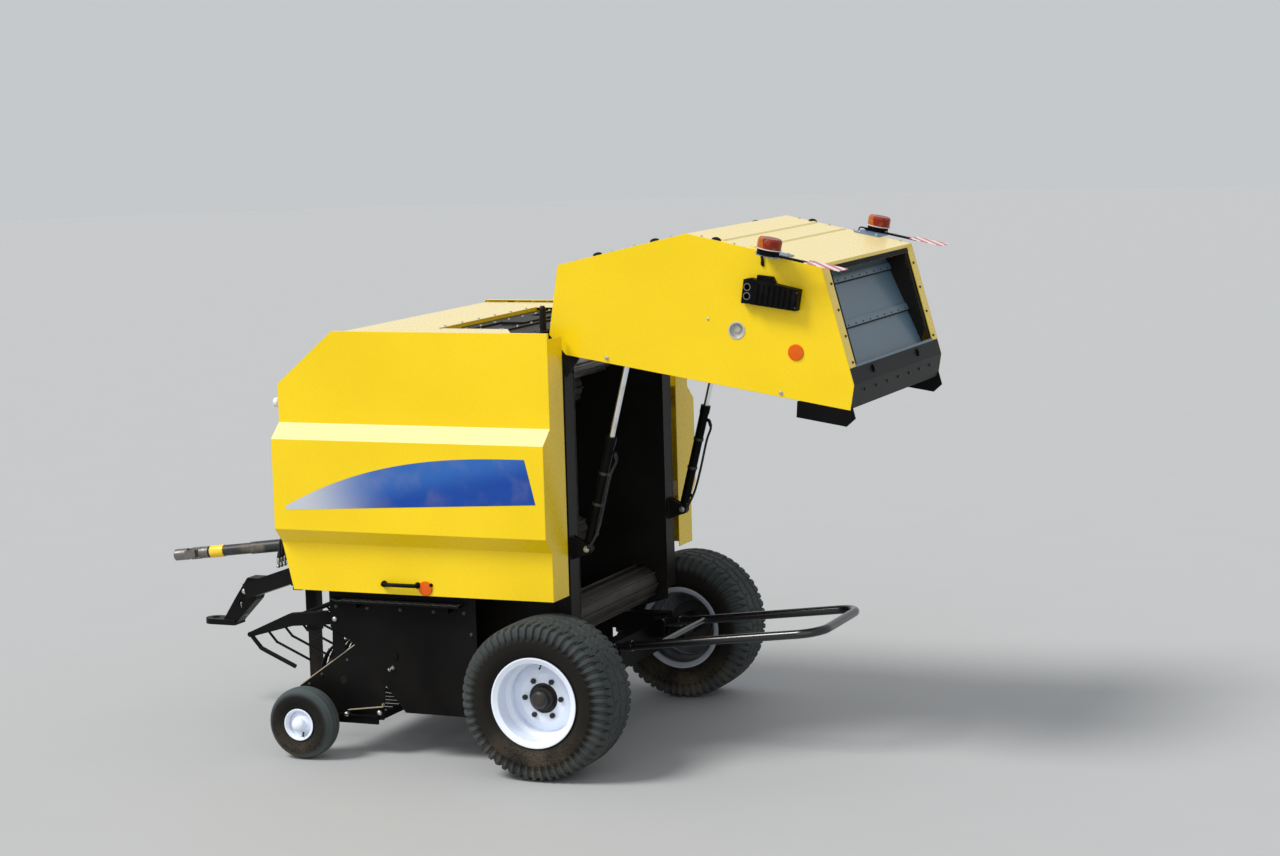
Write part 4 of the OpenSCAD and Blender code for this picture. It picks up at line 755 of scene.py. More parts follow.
def sweep(path: list | np.ndarray, section: list | np.ndarray, closed: bool = False) -> Shape:
    """Carries a section along a path: path(u) + side(u) a + over(u) b for each (a, b) in it.

    Args:
        path: (n, 3) places.
        section: (k, 2) offsets to the side and over.
        closed: The path returns to its start.
    """
    path = np.asarray(path, float)
    ahead = np.roll(path, -1, 0) - np.roll(path, 1, 0) if closed else np.gradient(path, axis=0)
    ahead /= np.linalg.norm(ahead, axis=1, keepdims=True)
    side = np.cross(ahead, np.eye(3)[int(np.argmin(np.ptp(path, axis=0)))])
    side /= np.linalg.norm(side, axis=1, keepdims=True)
    over = np.cross(side, ahead)
    a, b = section.T[:, None, :, None]
    return grid(path[:, None, :] + side[:, None, :] * a + over[:, None, :] * b, ring_rows=closed)


def smooth_path(points: list, per_span: int = 8) -> np.ndarray:
    """Catmull-Rom curve through the points: each span blends its four neighbours by cubics in u."""
    p = np.asarray(points, float)
    p = np.vstack([2 * p[0] - p[1], p, 2 * p[-1] - p[-2]])
    u = np.linspace(0, 1, per_span, endpoint=False)[None, :, None]
    a, b, c, d = (p[k:len(p) - 3 + k][:, None, :] for k in range(4))
    curve = 0.5 * (2 * b + (c - a) * u + (2 * a - 5 * b + 4 * c - d) * u**2 + (3 * b - a - 3 * c + d) * u**3)
    return np.vstack([curve.reshape(-1, p.shape[1]), p[-2:-1]])


def corner_cut(points: np.ndarray, rounds: int = 2) -> np.ndarray:
    """Chaikin's rounding of a closed loop: each edge keeps its points at a quarter and three quarters."""
    for _ in range(rounds):
        ahead = np.roll(points, -1, 0)
        points = np.stack([0.75 * points + 0.25 * ahead, 0.25 * points + 0.75 * ahead], 1).reshape(-1, points.shape[1])
    return points


def slab(outline: list | np.ndarray, low: float, high: float) -> Shape:
    """An outline of (x, z) points carried from y = low to y = high."""
    x, z = np.asarray(outline, float).T
    return grid(np.stack([places(x, y, z) for y in (low, high)]))


def box(x0: float, x1: float, z0: float, z1: float, low: float, high: float) -> Shape:
    """A block over x0 to x1 and z0 to z1, from y = low to y = high."""
    return slab([(x0, z0), (x1, z0), (x1, z1), (x0, z1)], low, high)


def plate(outline: list | np.ndarray, low: float, high: float) -> Shape:
    """An outline of (x, y) points carried from z = low to z = high."""
    x, y = np.asarray(outline, float).T
    return grid(np.stack([places(x, y, z) for z in (low, high)]))


def bolt(across: float = 19.0, height: float = 8.0) -> Shape:
    """A hexagon head with a chamfered top on a round washer, seated at z = 0."""
    washer = revolve([(across * 0.72, 0), (across * 0.72, 1.6), (across * 0.66, 2.2)], 16)
    radius = across / math.sqrt(3)
    return washer + revolve([(radius, 2.2), (radius, height * 0.8 + 2.2), (radius * 0.82, height + 2.2)], 6)


def domed_disc(radius: float, low: float, rim: float) -> Shape:
    """A domed disc of a radius from z = low, straight up to z = rim."""
    return revolve([(radius, low), (radius, rim), (radius - 3, rim + 3), (radius * 0.5, rim + 4.5), (4, rim + 5)], 36)


def smoothstep(value: np.ndarray, low: float, high: float) -> np.ndarray:
    """0 below low, 1 above high, and 3u^2 - 2u^3 between."""
    u = np.clip((value - low) / (high - low), 0, 1)
    return u * u * (3 - 2 * u)


def together(shapes: list[Shape]) -> Shape:
    """All the shapes as one."""
    return sum(shapes[1:], shapes[0])


def hose(points: list, radius: float = 9.0) -> Shape:
    """A hose through the points with a crimped ferrule at both ends."""
    path = smooth_path(points, 10)
    ferrule = revolve([(radius + 1.5, 0), (radius + 3, 3), (radius + 3, 30), (radius + 1.5, 34)], 12)
    return sweep(path, circle(radius, 10)) + together(
        [ferrule.at(*path[end], path[nearby] - path[end]) for end, nearby in ((0, 2), (-1, -3))])


def toothed(radius: float, teeth: int, depth: float, low: float, high: float) -> Shape:
    """Sprocket plate from y = low to high: r = radius - depth (1 - clipped cosine of teeth t) / 2."""
    t = turns(teeth * 8)
    return slab(arc(t, radius - depth * (1 - np.clip(1.7 * np.cos(teeth * t), -1, 1)) / 2), low, high)


def belt_loop(first: tuple, first_r: float, second: tuple, second_r: float) -> np.ndarray:
    """Closed (x, z) loop round two circles: two arcs and the straight runs that touch both."""
    run = np.subtract(second, first)
    lean, side = math.atan2(run[1], run[0]), math.acos((first_r - second_r) / np.hypot(*run))
    return np.vstack([np.array(first) + arc(spread(lean + side, lean + 2 * math.pi - side, 14), first_r),
                      np.array(second) + arc(spread(lean - side, lean + side, 14), second_r)])


def band_loop(middle: tuple, inner: float, outer: float, start: float, end: float) -> np.ndarray:
    """Closed (x, z) loop along two arcs about middle, in degrees, with half circles between them."""
    mean, half = (inner + outer) / 2, (outer - inner) / 2
    tops = [np.array(middle) + arc(np.radians(a), mean) for a in (start, end)]
    runs = ((middle, outer, start, end, 60), (tops[1], half, end + 20, end + 160, 8),
            (middle, inner, end, start, 60), (tops[0], half, start + 200, start + 340, 8))
    return np.vstack([np.array(about) + arc(np.radians(spread(a, b, n)), r) for about, r, a, b, n in runs])


def resampled(loop: np.ndarray, count: int = 0, pitch: float = 1.0) -> np.ndarray:
    """Places evenly spaced along a closed loop.

    Args:
        loop: (k, 2) points.
        count: How many; if 0, an even number that puts them about pitch apart.
        pitch: Distance between them.

    Returns:
        (n, 2) places.
    """
    shut = np.vstack([loop, loop[:1]])
    along = np.concatenate([[0], np.cumsum(np.linalg.norm(np.diff(shut, axis=0), axis=1))])
    even = np.linspace(0, along[-1], count or 2 * round(along[-1] / pitch / 2), endpoint=False)
    return np.stack([np.interp(even, along, shut[:, i]) for i in (0, 1)], -1)


def chain(loop: np.ndarray, y: float, pitch: float = 31.75, width: float = 20.0, half: float = 5.0) -> Shape:
    """Plates and pins of a roller chain along a loop.

    Pins stand every pitch along the loop; each plate is a stadium from pin to pin, and every
    other one lies one plate's thickness further out.

    Args:
        loop: (k, 2) closed loop of (x, z) points.
        y: Where the middle of its band of rollers lies.
        pitch: Distance between pins.
        width: Height of a plate.
        half: Half the width of the band.
    """
    low, high = y - half, y + half
    pins = resampled(loop, pitch=pitch)
    run = np.roll(pins, -1, 0) - pins
    reach = np.linalg.norm(run, axis=1)
    (x, z), (c, s) = (pins + run / 2).T, (run / reach[:, None]).T
    frames = flat_frames(places(c, 0, s), places(-s, 0, c))
    end = arc(np.radians(spread(-90, 90, 5)), width / 2)
    outline = np.vstack([end + (reach.mean() / 2, 0), -end - (reach.mean() / 2, 0)])
    made = revolve([(width * 0.26, low - 4.5), (width * 0.26, high + 4.5)], 8).at(pins[:, 0], 0, pins[:, 1], OUT)
    for odd in (0, 1):
        for face in (low - 2 - 2 * odd, high + 0.2 + 2 * odd):
            made += slab(outline, face, face + 1.8).framed(places(x, 0, z)[odd::2], frames[odd::2])
    return made


@dataclass(frozen=True)
class Panel:
    """A flat of the tailgate, from one corner of its closed outline to the next."""

    corner: int

    def put(self, shape: Shape) -> Shape:
        """Takes a shape from the flat's own frame (x up it, z into the tailgate) to its raised place."""
        foot, top = (np.array(GATE_OUTLINE[(self.corner + k) % len(GATE_OUTLINE)]) for k in (0, 1))
        slope = math.degrees(math.atan2(top[1] - foot[1], top[0] - foot[0]))
        return raised(shape.turned(-slope, Axis.Y).moved(foot[0], 0.0, foot[1]))


def raised(shape: Shape) -> Shape:
    """Turns a shape drawn on the closed tailgate up about the hinge to where the tailgate stands."""
    return shape.turned(-GATE_OPEN, Axis.Y, HINGE)


@dataclass
class Tyre:
    """A tyre whose running surface is cut by its tread's grooves."""

    node: str
    body: str
    centre: tuple[float, float, float]
    radius: float
    half_width: float
    seat: float
    bead: float
    tread: Tread
    pitches: int = 56
    steps: int = 784
    finish: Finish = TYRE
    depth: float = 12.5

    def section(self) -> np.ndarray:
        """Closed loop of (radius, height): bead, bulged side wall, shoulder and slightly round crown."""
        r, w, s, b = self.radius, self.half_width, self.seat, self.bead
        k = w / 195
        if self.tread is Tread.RIBS:
            mid, t = (s + r) / 2 + 4, np.radians(spread(-35, 86, 11))
            half = [(s + 1, b - 4), (s + 8, b + 2), *zip(mid + (r - mid) * np.sin(t), w * np.cos(t) ** 0.7)]
        else:
            half = [(s + 1, b - 10 * k), (s + 14 * k, b - 1), (s + 34 * k, b + 4 * k), (s + 60 * k, w - 5 * k),
                    (s + 100 * k, w), (r - 70 * k, w - 3 * k), (r - 34 * k, w - 9 * k), (r - 13 * k, w - 22 * k),
                    (r - 4 * k, w - 48 * k), (r - 1.5 * k, w - 90 * k), (r, w - 140 * k)]
        loop = np.array(half + [(x, -y) for x, y in half[::-1]] + [(s + 1, -b * 0.5), (s + 1, b * 0.5)])
        return resampled(corner_cut(loop), 116 if self.tread is Tread.BARS else 72)

    def grooves(self, angle: np.ndarray, height: np.ndarray, radius: np.ndarray) -> np.ndarray:
        """Depth from 0 to 1 cut at each angle and height.

        Bars: slots across each shoulder, every other one long, and three zigzag grooves.
        Ribs: four round grooves.
        """
        w, below = self.half_width, self.radius - radius
        out = np.abs(height)
        if self.tread is Tread.RIBS:
            groove = -np.cos(height / w * math.pi * 4.4)
            return smoothstep(groove, 0.35, 0.8) * smoothstep(below, 14.0, 7.0) * 0.6
        turn = angle * self.pitches / (2 * math.pi) + np.sign(height) * 0.2
        slanted = turn + (out / w - 0.8) * 0.9 * np.sign(height)
        reach = np.where(np.floor(slanted) % 2 > 0.5, 0.52 * w, 0.7 * w)
        gap = 0.64 - 0.28 * smoothstep(out, 0.6 * w, 0.98 * w)
        slot = smoothstep(np.abs(slanted % 1.0 - 0.5) * 2, gap, gap + 0.16)
        slot = slot * smoothstep(out, reach, reach + 9) * smoothstep(below, 90.0, 76.0)
        zigzag = np.abs((angle * self.pitches / 4 / math.pi) % 1.0 - 0.5) * 4 - 1
        rings = sum(smoothstep(np.abs(height - at * w - zigzag * 7), 7.0, 3.5) for at in (-0.42, 0.0, 0.42))
        tick = smoothstep(np.abs((turn * 0.5) % 1.0 - 0.5) * 2, 0.8, 0.93)
        sipe = tick * smoothstep(np.abs(out - 0.22 * w), 15.0, 10.0) * 0.7
        return np.maximum.reduce([slot, np.clip(rings, 0, 1), sipe])

    def build(self) -> None:
        """A point is centre + ((r - depth g) cos t, h, (r - depth g) sin t), g from grooves()."""
        loop = self.section()
        radius, height, angle = np.broadcast_arrays(loop[:, :1], loop[:, 1:], turns(self.steps)[None, :])
        cut = self.grooves(angle, height, radius) * self.depth
        side = np.gradient(loop, axis=0)
        normal = np.stack([side[:, 1], -side[:, 0]], -1) / np.linalg.norm(side, axis=1, keepdims=True)
        normal *= np.sign(np.sum(normal[:, 0] * (loop[:, 0] - self.seat)))
        x, y, z = self.centre
        r = radius - cut * normal[:, :1]
        points = np.stack([x + r * np.cos(angle), y + height - cut * normal[:, 1:], z + r * np.sin(angle)], -1)
        grid(points, ring_rows=True).build(f"{self.node}_tread", self.finish, self.body, "tyre_rubber",
                                           sharp=50, stands_for=(self.node,))


@dataclass
class Wheels:
    """The two main and two gauge wheels with their tyres, valves and caps."""

    main_radius: float = 420.0
    main_y: float = 1020.0
    gauge_centre: tuple[float, float] = (-1440.0, 195.0)
    gauge_y: float = 1040.0

    def build(self) -> None:
        """Makes the tyres and the small fittings of all four wheels."""
        gx, gz = self.gauge_centre
        for side in Side:
            Tyre(f"tyre_{side.word}", f"wheel_{side.word}", (0.0, side.value * self.main_y, self.main_radius),
                 self.main_radius, half_width=195.0, seat=216.0, bead=160.0, tread=Tread.BARS).build()
            Tyre(f"gauge_tyre_{side.word}", f"gauge_{side.word}", (gx, side.value * self.gauge_y, gz),
                 gz, half_width=77.5, seat=76.0, bead=58.0, tread=Tread.RIBS, steps=160, finish=GAUGE_TYRE,
                 depth=5.0).build()
        stem = revolve([(5.5, 0), (5.5, 16), (4, 20), (4, 34), (5, 35), (5, 42), (3, 44)], 12)
        main = stem.at(0, self.main_y + 45, self.main_radius + 189, (-0.05, 0.75, -0.66))
        main.build_sides("valve", BUFFER, "wheel", "tyre_rubber")
        small = stem.at(gx + 10, self.gauge_y + 36, gz - 44, (0.35, 0.8, -0.4))
        small.build_sides("gauge_valve", BUFFER, "gauge", "tyre_rubber")
        cap = revolve([(40, 0), (39, 6), (33, 15), (20, 22), (3, 25)], 28)
        cap.at(gx, self.gauge_y + 69, gz, OUT).build_sides("gauge_cap", WHITE, "gauge", "white_paint")


@dataclass
class ShieldFittings:
    """Decal, handle, lock and reflector on each side shield."""

    belt_y: float = 1057.0
    lower_y: float = 982.0
    handle: tuple[float, float, float] = (-950.0, -749.0, 968.0)
    reflector: tuple[float, float, float] = (-705.0, 953.0, 40.0)
    lock: tuple[float, float] = (-672.0, 972.0)

    def build(self) -> None:
        """Makes the fittings on both sides."""
        y, (x, z, radius), (lock_x, lock_z) = self.lower_y, self.reflector, self.lock
        self.decal().build_sides("decal", DECAL, "shield", "yellow_paint")
        self.grip().build_sides("shield_handle", BLACK_PLASTIC, "shield", "chock_plastic")
        disc = domed_disc(radius, 0, 5).at(x, y, z, OUT)
        disc.build_sides("shield_reflector", ORANGE, "shield", "lamp_plastic")
        lock = revolve([(11, 0), (11, 4), (8, 6), (8, 9), (3, 9.5)], 20).at(lock_x, y, lock_z, OUT)
        lock.build_sides("shield_lock", BLACK_PLASTIC, "shield", "chock_plastic")

    def decal(self) -> Shape:
        """Tip at the front, upper edge x = -1488 + 1419 u, z = 1383 + 288 (1 - (1 - u)^2.6), slanted rear."""
        u = np.linspace(0, 1, 24)
        upper = np.stack([-1488 + 1419 * u, 1383 + 288 * (1 - (1 - u) ** 2.6)], -1)
        return slab(np.vstack([upper, [(-12.0, 1436.0), (-1490.0, 1362.0)]]), self.belt_y + 0.2, self.belt_y + 0.9)

    def grip(self) -> Shape:
        """A round bar bent down to the sheet at both ends."""
        (x0, x1, z), y = self.handle, self.lower_y
        path = smooth_path([(x0, y, z), (x0, y + 12, z), (x0 + 16, y + 26, z), (x1 - 16, y + 26, z),
                            (x1, y + 12, z), (x1, y, z)], 6)
        return sweep(path, circle(11.0, 12)) + revolve([(18, 0), (18, 4), (15, 16)], 20).at([x0, x1], y, z, OUT)


@dataclass
class TailgateFittings:
    """Bolts, dishes, reflectors, rubbers and lamp details of the raised tailgate."""

    half_width: float = 761.0
    reflector: tuple[float, float, float] = (292.0, 959.0, 42.0)
    dish: tuple[float, float] = (346.0, 1289.0)
    chock: tuple[float, float] = (560.0, 1120.0)
    lamp: tuple[float, float] = (243.0, 888.0)
    window_run: float = 629.0
    strap_marks: tuple[float, float] = (295.0, 535.0)
    strap_lean: float = 9.6
    strap_lift: float = 26.0
    clip_y: float = 384.0
    elevator_band: tuple[float, ...] = (643.0, 697.0, -85.0, 85.0)
    elevator_y: float = 581.0

    def build(self) -> None:
        """Makes every group of fittings and puts it on the tailgate."""
        self.panel_sides()
        self.panel_edges()
        self.window()
        self.straps()
        self.lamps()
        links = chain(band_loop(CHAMBER, *self.elevator_band), self.elevator_y, pitch=38.1, width=22.0, half=7.0)
        self.place(raised(links.pair()), "elevator_chains", CHAIN_STEEL, "chain_steel")

    def place(self, shape: Shape, name: str, finish: Finish, slot: str, **more: float | tuple) -> None:
        """Builds a shape that is already raised, riding on the tailgate."""
        shape.build(name, finish, "gate", slot, **more)

    def panel_sides(self) -> None:
        """Reflectors, dishes, lock dots and bolts on the two side panels, and the chocks' bolts."""
        y, (x, z, radius), (cx, cz) = self.half_width, self.reflector, self.chock
        disc = domed_disc(radius, 0.1, 4).at(x, y, z, OUT)
        self.place(raised(disc.pair()), "gate_reflectors", ORANGE, "lamp_plastic")
        bowl = revolve([(38.8, -24.4), (38.8, 0.3), (46, 0.3), (46, 2.0), (42, 3.2), (38.0, 2.4), (36.6, -17),
                        (28, -21.5), (4, -22.4)], 36)
        knob = revolve([(21, -22), (21, -17), (18, -15), (3, -14.6)], 24).moved(-5, 6)
        dish = (bowl + knob).at(self.dish[0], y, self.dish[1], OUT)
        self.place(raised(dish.pair()), "gate_dishes", SILVER, "plate_grey")
        dots = revolve([(7, 0.1), (7, 3), (4, 4.5)], 16).at(377, y, 1452, OUT)
        heads = bolt(16, 7).at([77, 73], y, [1979, 1009], OUT)
        self.place(raised((dots + heads).pair()), "gate_side_bolts", ZINC, "worn_steel")
        slot = slab([(700, 1190), (744, 1201), (742, 1214), (698, 1203)], y - 8, y - 4.2)
        self.place(raised(slot.pair()), "lamp_slot_rubbers", BUFFER, "tyre_rubber")
        screws = revolve([(6, 0), (6, 3), (3, 4)], 12).at([cx - 38, cx + 40], y + 60, cz - 142, OUT)
        self.place(raised(screws.pair()), "chock_screws", BLACK_BOLT, "dark_steel")
        holes = ([cx + 22, cx - 24], [cz + 130, cz + 126])
        ring = revolve([(15, 0), (19.5, 0), (19.5, 2.5), (15, 2.5)], 24, ring=True)
        floor = revolve([(14.6, 0.2), (14.6, 3), (1, 3)], 24)
        for shape, out, name, finish in ((ring, 42, "chock_eyes", DUSTY_PLASTIC),
                                         (floor, 0, "chock_hole_floors", BLACK_PLASTIC)):
            self.place(raised(shape.at(holes[0], y + out, holes[1], OUT).pair()), name, finish, "chock_plastic")

    def panel_edges(self) -> None:
        """Screws along the edges of the rear panel and the flats above it, and rubbers beside them."""
        y, screw = self.half_width - 14, bolt(10, 4)
        rows = ((2, [60, 335, 480, 660]), (3, [90, 300, 430, 640]), (4, [60, 180, 310]))
        made = together([Panel(corner).put(screw.at(x, y, 0, INTO).pair()) for corner, x in rows])
        self.place(made, "gate_edge_screws", ZINC, "worn_steel")
        stop = slab(arc(np.radians(spread(0, 180, 9)), 24, -15), y - 12, y + 8)
        stops = Panel(2).put(stop.moved(578).pair()) + Panel(3).put((stop.moved(185) + stop.moved(514)).pair())
        self.place(stops, "gate_stop_rubbers", BUFFER, "tyre_rubber", bevel=2.0)

    def window(self) -> None:
        """Strips, screws, dark strips of painted shade and sill of the window, and bolts of the beam and its clips."""
        inner = self.half_width - 100
        foot, head = 86.0, self.window_run - 18
        strip = box(foot, head, -1.5, 2.4, inner, self.half_width - 1)
        self.place(Panel(1).put(strip.pair()), "window_strips", YELLOW, "yellow_paint")
        screws = bolt(11, 5).at(spread(111, 522, 4), inner + 34, -1.5, INTO)
        self.place(Panel(1).put(screws.pair()), "window_screws", BLACK_BOLT, "dark_steel")
        # Painted shade in rubber: a black band under the head's lip for the shadowed gap there, and dark strips beside
        # the plates for the shadowed hole between wall and strip
        shade_strips = box(head - 27, head, -2.2, 0.5, -inner, inner) + box(foot, head, 6, 9, 617, 700).pair()
        self.place(Panel(1).put(shade_strips), "window_shade_strips", BUFFER, "tyre_rubber")
        sill = slab([(84, -4), (98, -4), (98, 4), (91, 22), (84, 4)], -inner, inner)
        self.place(Panel(1).put(sill), "window_sill", GREY_BLUE, "plate_grey")
        row = bolt(12, 5).at(140, spread(-560, 560, 7), 631, INTO)
        clips = bolt(12, 5).at(50, [self.clip_y - 22, self.clip_y + 22], -8, INTO)
        latch = bolt(19, 8).at(70, self.half_width - 16, 720, OUT)
        made = raised(row + latch.pair()) + Panel(1).put(clips.pair())
        self.place(made, "beam_bolts", BLACK_BOLT, "dark_steel")

    def straps(self) -> None:
        """Rivets of the straps across the window's plates, and dark strips under the straps as their painted shadow,
        which lean with them.
        """
        rivet = revolve([(5, 0), (4.4, 2.2), (1.5, 3.2)], 10)
        marks = [(mark, -5.0 * k) for k, mark in enumerate(self.strap_marks, 1)]
        rivets = together([rivet.at(x + 2, spread(-540, 540, 10), z - 8, INTO) for x, z in marks])
        # Dark strip under each strap: painted shadow of the strap on the plates
        shadow_strips = together([box(x - 14, x - 8, z - 6, z, -609, 609) for x, z in marks])
        for shape, name, finish, slot in ((rivets, "strap_rivets", DARK_RIVET, "dark_steel"),
                                          (shadow_strips, "strap_shadow_strips", BUFFER, "tyre_rubber")):
            leaning = shape.turned(-self.strap_lean, Axis.Y).moved(z=self.strap_lift)
            self.place(Panel(1).put(leaning), name, finish, slot)

    def lamps(self) -> None:
        """Bracket, base, pale foot ring, bolts and cable of each lamp, and the screws of the marker boards."""
        (x, y), side = self.lamp, self.half_width
        ring = revolve([(61.5, 0), (65.5, 0), (65.5, -5), (61.5, -5)], 36, ring=True).moved(x, y, -35)
        base = revolve([(55, -34), (57.5, -31), (57.5, -7), (55, -5.5)], 36).moved(x, y)
        base += box(5, x - 39, -14, -4.5, y - 34, y - 4)
        heads = bolt(13, 6).at([x - 50, x + 50], 722, -6, INTO)
        board = bolt(9, 4).at([14, 24], y - 19, -17, INTO) + bolt(10, 4).at([60, 130, 190], y - 19, -14, INTO)
        cable = hose([(x + 40, y - 40, -10), (x + 58, y - 90, -22), (x + 70, y - 118, -16),
                      (x + 66, side + 8, 30), (x + 62, side + 6, 70)], 4.0)
        for shape, name, finish, slot in ((ring, "lamp_foot_rings", WHITE_PLASTIC, "signal_plastic"),
                                          (base, "lamp_bases", BLACK_PLASTIC, "chock_plastic"),
                                          (heads + board, "lamp_bracket_bolts", ZINC, "worn_steel"),
                                          (cable, "lamp_cables", BUFFER, "tyre_rubber")):
            self.place(Panel(2).put(shape.pair()), name, finish, slot)
        bracket = plate([(x - 72, 690), (x + 72, 690), (x + 72, y - 20), (x + 44, y + 46), (x - 44, y + 46),
                         (x - 72, y - 20)], -6.0, 0.0)
        self.place(Panel(2).put(bracket.pair()), "lamp_brackets", BRACKET_BLUE, "lamp_bracket",
                   stands_for=("gate_lamps",))


@dataclass
class DriveFittings:
    """Chains, sprocket teeth, bearing bolts and the drive line's details."""

    wall_y: float = 616.0
    pitch_r: float = 735.0
    roller_angles: tuple[float, ...] = (100.0, 123.0, 146.0, 169.0, 192.0, 215.0, 256.0)
    driven: int = 4
    chain_band: tuple[float, ...] = (658.0, 812.0, 100.0, 215.0)
    chain_y: float = -669.0
    main_y: float = -720.0
    rotor_y: float = -754.0
    side_shaft: tuple[float, float] = (-1450.0, 1120.0)
    rotor: tuple[float, float] = (-800.0, 620.0)
    input_line: tuple[float, float, float] = (-1600.0, 0.0, 1030.0)
    tilt: float = 7.0

    def roller(self, index: int) -> tuple[float, float]:
        """Place of a roller: the chamber's middle plus the pitch radius at its angle."""
        a = math.radians(self.roller_angles[index])
        return CHAMBER[0] + self.pitch_r * math.cos(a), CHAMBER[1] + self.pitch_r * math.sin(a)

    def teeth(self, radius: float, count: int, depth: float, y: float, place: tuple, half: float = 2.5) -> Shape:
        """A sprocket's toothed plate about an (x, z) place, half its thickness either side of y."""
        return toothed(radius, count, depth, y - half, y + half).moved(place[0], 0, place[1])

    def build(self) -> None:
        """Makes the chains, the teeth of every sprocket and the fittings on walls and shafts."""
        made = (chain(band_loop(CHAMBER, *self.chain_band), self.chain_y)
                + chain(belt_loop(self.side_shaft, 62, self.roller(self.driven), 104), self.main_y)
                + chain(belt_loop(self.side_shaft, 62, self.rotor, 112), self.rotor_y))
        made.build("drive_chain_links", CHAIN_STEEL, "root", "chain_steel")
        for index in range(6):
            spot, driven = self.roller(index), index == self.driven
            made = self.teeth(70.0, 14, 11.0, self.chain_y, spot, 3.0)
            if driven:
                made += self.teeth(97.5, 20, 9.0, self.main_y, spot)
            made += bolt(17, 8).at(spot[0], self.main_y - 14 if driven else self.chain_y - 21, spot[1], (0, -1, 0))
            made.build(f"roller_{index + 1}_teeth", CHAIN_STEEL, f"roller_{index + 1}", "chain_steel")
        made = self.teeth(105.5, 22, 9.0, self.rotor_y, self.rotor)
        made.build("rotor_teeth", CHAIN_STEEL, "feed_rotor", "chain_steel")
        made = together([self.teeth(55.5, 11, 8.0, y, self.side_shaft) for y in (self.main_y, self.rotor_y)])
        made.build("side_shaft_teeth", CHAIN_STEEL, "root", "chain_steel")
        self.bearings()
        self.gearbox()
        self.drive_shaft()

    def bearings(self) -> None:
        """Four bolts and a grease nipple round each shaft on both chamber walls."""
        y = self.wall_y + 20
        t = np.radians([45, 135, 225, 315])
        rollers = [self.roller(i) for i in range(7)]
        shafts = [(*spot, 34.0) for spot in rollers] + [(*self.rotor, 46.0)]
        spots = np.vstack([places(x + r * np.cos(t), y, z + r * np.sin(t)) for x, z, r in shafts])
        bolt(10, 5).at(*spots.T, OUT).pair().build("bearing_bolts", ZINC, "root", "worn_steel")
        nipple = revolve([(4, 0), (4, 6), (2.5, 8), (3.5, 11), (1.5, 13)], 10)
        x, z = np.array(rollers).T
        nipple.at(x - 38, y, z, OUT).pair().build("grease_nipples", ZINC, "root", "worn_steel")

    def gearbox(self) -> None:
        """Cover bolts, front flange bolts and filler plug of the gearbox."""
        x, y = circle(40, 6).T
        heads = bolt(13, 6).at(self.side_shaft[0] + x, y, 1168, UP)
        heads += bolt(15, 7).at(-1570, [-98, 98, -98, 98], [930, 930, 1140, 1140], (-1, 0, 0))
        (heads + bolt(24, 14).at(-1370, 60, 1160, UP)).build("gearbox_bolts", ZINC, "root", "worn_steel")

    def on_line(self, shape: Shape) -> Shape:
        """Puts a shape drawn about +Z onto the sloping input line, z counted forward from the gearbox."""
        return shape.turned(-90 - self.tilt, Axis.Y).moved(*self.input_line)

    def drive_shaft(self) -> None:
        """Ribs of the guard's cone, of radius 70 - 18 (h - 14) / 110, and the yellow band at its front end."""
        heights = spread(24, 112, 6)
        rings = [revolve([(r - 2, h - 4), (r + 2.2, h - 4), (r + 3.4, h), (r + 2.2, h + 4), (r - 2, h + 4)], 40, True)
                 for h, r in zip(heights, 70 - 18 * (heights - 14) / 110)]
        self.on_line(together(rings)).build("guard_cone_ribs", GUARD_PLASTIC, "root", "guard_plastic")
        band = revolve([(32.2, 925), (35.5, 928), (36.5, 940), (36.5, 1002), (35.5, 1016), (32.2, 1018)], 36, ring=True)
        self.on_line(band).build("guard_band", YELLOW_BAND, "root", "guard_plastic")


